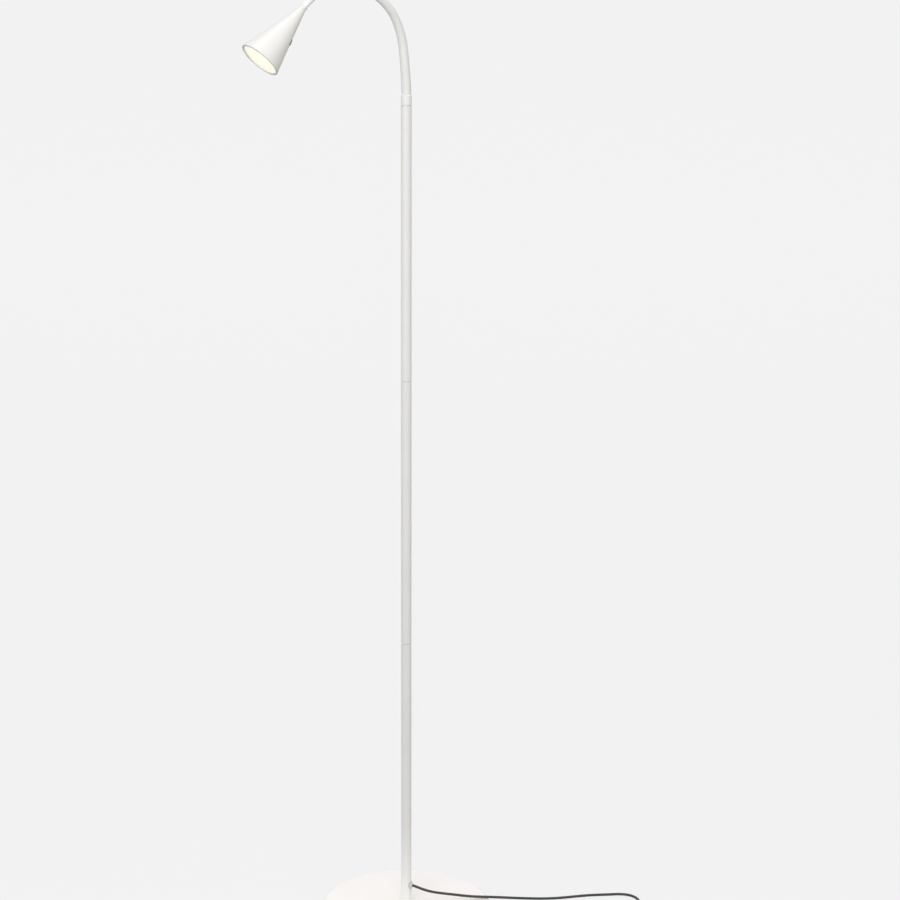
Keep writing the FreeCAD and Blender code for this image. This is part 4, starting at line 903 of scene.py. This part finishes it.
# ---------------------------------------------------------------------------------------------------
# Stage
# ---------------------------------------------------------------------------------------------------
KEY_PLACE, KEY_AIM = Vector((-0.25, -1.9, 1.75)), Vector((0.0, 0.0, 1.4))    # places as the camera sees them
TOP_PLACE, TOP_AIM = Vector((-0.4, 0.4, 6.0)), Vector((0.0, 0.0, 0.0))
SOFT_LAMP_SIZE = 2.0                # across the disk of each lamp
SENSOR_WIDTH = 36.0                 # millimetres
VIEW_END = 200.0                    # farthest point that the camera shows
FLOOR_REACH = 60.0
FLOOR_LIFT = (-1.0, 5.0, 1.0, 1.035)    # from and to how far behind the lamp, factor there


class LAMP_OT_stage(bpy.types.Operator):
    """Pale floor, soft light and the camera"""
    bl_idname = "lamp.stage"
    bl_label = "Stage"

    def execute(self, context):
        stage = context.scene.lamp_stage
        context.scene.view_settings.view_transform = "Standard"
        self.floor(stage)
        self.world(context, stage)
        turn = Matrix.Rotation(stage.camera_turn, 4, "Z")
        self.soft_lamp("key_light", turn @ KEY_PLACE, KEY_AIM, stage.key_power)
        self.soft_lamp("top_light", turn @ TOP_PLACE, TOP_AIM, stage.top_power)
        camera = bpy.data.cameras.new("photo_camera")
        camera.sensor_width = SENSOR_WIDTH
        camera.lens = stage.camera_lens
        camera.shift_x = stage.camera_shift
        camera.clip_end = VIEW_END
        made = bpy.data.objects.new("photo_camera", camera)
        made.location = turn @ Vector((0.0, -stage.camera_reach, stage.camera_height))
        made.rotation_euler = (math.pi / 2 - stage.camera_tilt, 0.0, stage.camera_turn)
        context.scene.collection.objects.link(made)
        context.scene.camera = made
        return {"FINISHED"}

    def soft_lamp(self, name, place, target, power):
        light = bpy.data.lights.new(name, "AREA")
        light.shape = "DISK"
        light.size = SOFT_LAMP_SIZE
        light.energy = power
        made = bpy.data.objects.new(name, light)
        made.location = place
        made.rotation_euler = (place - target).to_track_quat("Z", "Y").to_euler()
        bpy.context.scene.collection.objects.link(made)

    def seen_rays(self, nodes, links):
        """One for rays from the camera or through gloss or glass, nought for light that bounces."""
        path = nodes.new("ShaderNodeLightPath")
        total = path.outputs["Is Camera Ray"]
        for ray in ("Is Glossy Ray", "Is Transmission Ray"):
            either = nodes.new("ShaderNodeMath")
            either.operation = "MAXIMUM"
            links.new(total, either.inputs[0])
            links.new(path.outputs[ray], either.inputs[1])
            total = either.outputs[0]
        return total

    def mixed(self, nodes, links, factor, first, second):
        mix = nodes.new("ShaderNodeMixShader")
        if isinstance(factor, float):
            mix.inputs["Fac"].default_value = factor
        else:
            links.new(factor, mix.inputs["Fac"])
        links.new(first, mix.inputs[1])
        links.new(second, mix.inputs[2])
        return mix.outputs[0]

    def even_out(self, nodes, links, stage):
        """Lifts the floor a little with its distance behind the lamp, where less light falls on it."""
        place = nodes.new("ShaderNodeTexCoord")
        behind = nodes.new("ShaderNodeVectorMath")
        behind.operation = "DOT_PRODUCT"
        behind.inputs[1].default_value = (-math.sin(stage.camera_turn), math.cos(stage.camera_turn), 0.0)
        links.new(place.outputs["Object"], behind.inputs[0])
        lift = nodes.new("ShaderNodeMapRange")
        lift.interpolation_type = "SMOOTHSTEP"
        for socket, setting in zip(("From Min", "From Max", "To Min", "To Max"), FLOOR_LIFT):
            lift.inputs[socket].default_value = setting
        links.new(behind.outputs["Value"], lift.inputs["Value"])
        return lift.outputs["Result"]

    def floor(self, stage):
        corners = [(FLOOR_REACH * x, FLOOR_REACH * y, 0) for x, y in ((-1, -1), (1, -1), (1, 1), (-1, 1))]
        mesh = mesh_from("floor", corners, [(0, 1, 2, 3)])
        material = bpy.data.materials.new("pale_floor")
        material.use_nodes = True
        nodes, links = material.node_tree.nodes, material.node_tree.links
        shaded = nodes["Principled BSDF"]
        shaded.inputs["Roughness"].default_value = 0.9
        shaded.inputs["Specular IOR Level"].default_value = 0.0
        shaded.inputs["Base Color"].default_value = (*stage.backdrop, 1.0)
        even = nodes.new("ShaderNodeEmission")
        even.inputs["Color"].default_value = (*stage.backdrop, 1.0)
        links.new(self.even_out(nodes, links, stage), even.inputs["Strength"])
        giving = nodes.new("ShaderNodeBsdfDiffuse")
        giving.inputs["Color"].default_value = (stage.bounce, stage.bounce, stage.bounce, 1.0)
        shown = self.mixed(nodes, links, 1.0 - stage.shadow_share, shaded.outputs["BSDF"], even.outputs["Emission"])
        whole = self.mixed(nodes, links, self.seen_rays(nodes, links), giving.outputs["BSDF"], shown)
        links.new(whole, nodes["Material Output"].inputs["Surface"])
        mesh.materials.append(material)
        made = bpy.data.objects.new("floor", mesh)
        bpy.context.scene.collection.objects.link(made)

    def world(self, context, stage):
        world = bpy.data.worlds.new("studio")
        context.scene.world = world
        world.use_nodes = True
        nodes, links = world.node_tree.nodes, world.node_tree.links
        around = nodes["Background"]
        around.inputs["Color"].default_value = (1.0, 1.0, 1.0, 1.0)
        around.inputs["Strength"].default_value = stage.ambient
        shown = nodes.new("ShaderNodeBackground")
        shown.inputs["Color"].default_value = (*stage.backdrop, 1.0)
        whole = self.mixed(nodes, links, self.seen_rays(nodes, links), around.outputs["Background"],
                           shown.outputs["Background"])
        links.new(whole, nodes["World Output"].inputs["Surface"])


class LAMP_PT_panel(bpy.types.Panel):
    """Sizes, colours and building steps of the reading lamp"""
    bl_label = "Reading Lamp"
    bl_idname = "LAMP_PT_panel"
    bl_space_type = "VIEW_3D"
    bl_region_type = "UI"
    bl_category = "Reading Lamp"

    def draw(self, context):
        for group in (context.scene.lamp_finish, context.scene.lamp_shape, context.scene.lamp_stage):
            box = self.layout.box()
            for setting in group.__annotations__:
                box.prop(group, setting)
        for operator in OPERATORS:
            self.layout.operator(operator.bl_idname)


GROUPS = (("lamp_finish", LampFinish), ("lamp_shape", LampShape), ("lamp_stage", LampStage))
OPERATORS = (LAMP_OT_stage, LAMP_OT_cord, LAMP_OT_base, LAMP_OT_pole, LAMP_OT_neck, LAMP_OT_head, LAMP_OT_switch)


def register():
    for name, group in GROUPS:
        bpy.utils.register_class(group)
        setattr(bpy.types.Scene, name, PointerProperty(type=group))
    for operator in OPERATORS:
        bpy.utils.register_class(operator)
    bpy.utils.register_class(LAMP_PT_panel)


def unregister():
    bpy.utils.unregister_class(LAMP_PT_panel)
    for operator in reversed(OPERATORS):
        bpy.utils.unregister_class(operator)
    for name, group in reversed(GROUPS):
        delattr(bpy.types.Scene, name)
        bpy.utils.unregister_class(group)


def main():
    register()
    bpy.ops.lamp.stage()
    bpy.ops.lamp.cord()
    bpy.ops.lamp.base()
    bpy.ops.lamp.pole()
    bpy.ops.lamp.neck()
    bpy.ops.lamp.head()
    bpy.ops.lamp.switch()


if __name__ == "__main__":
    main()
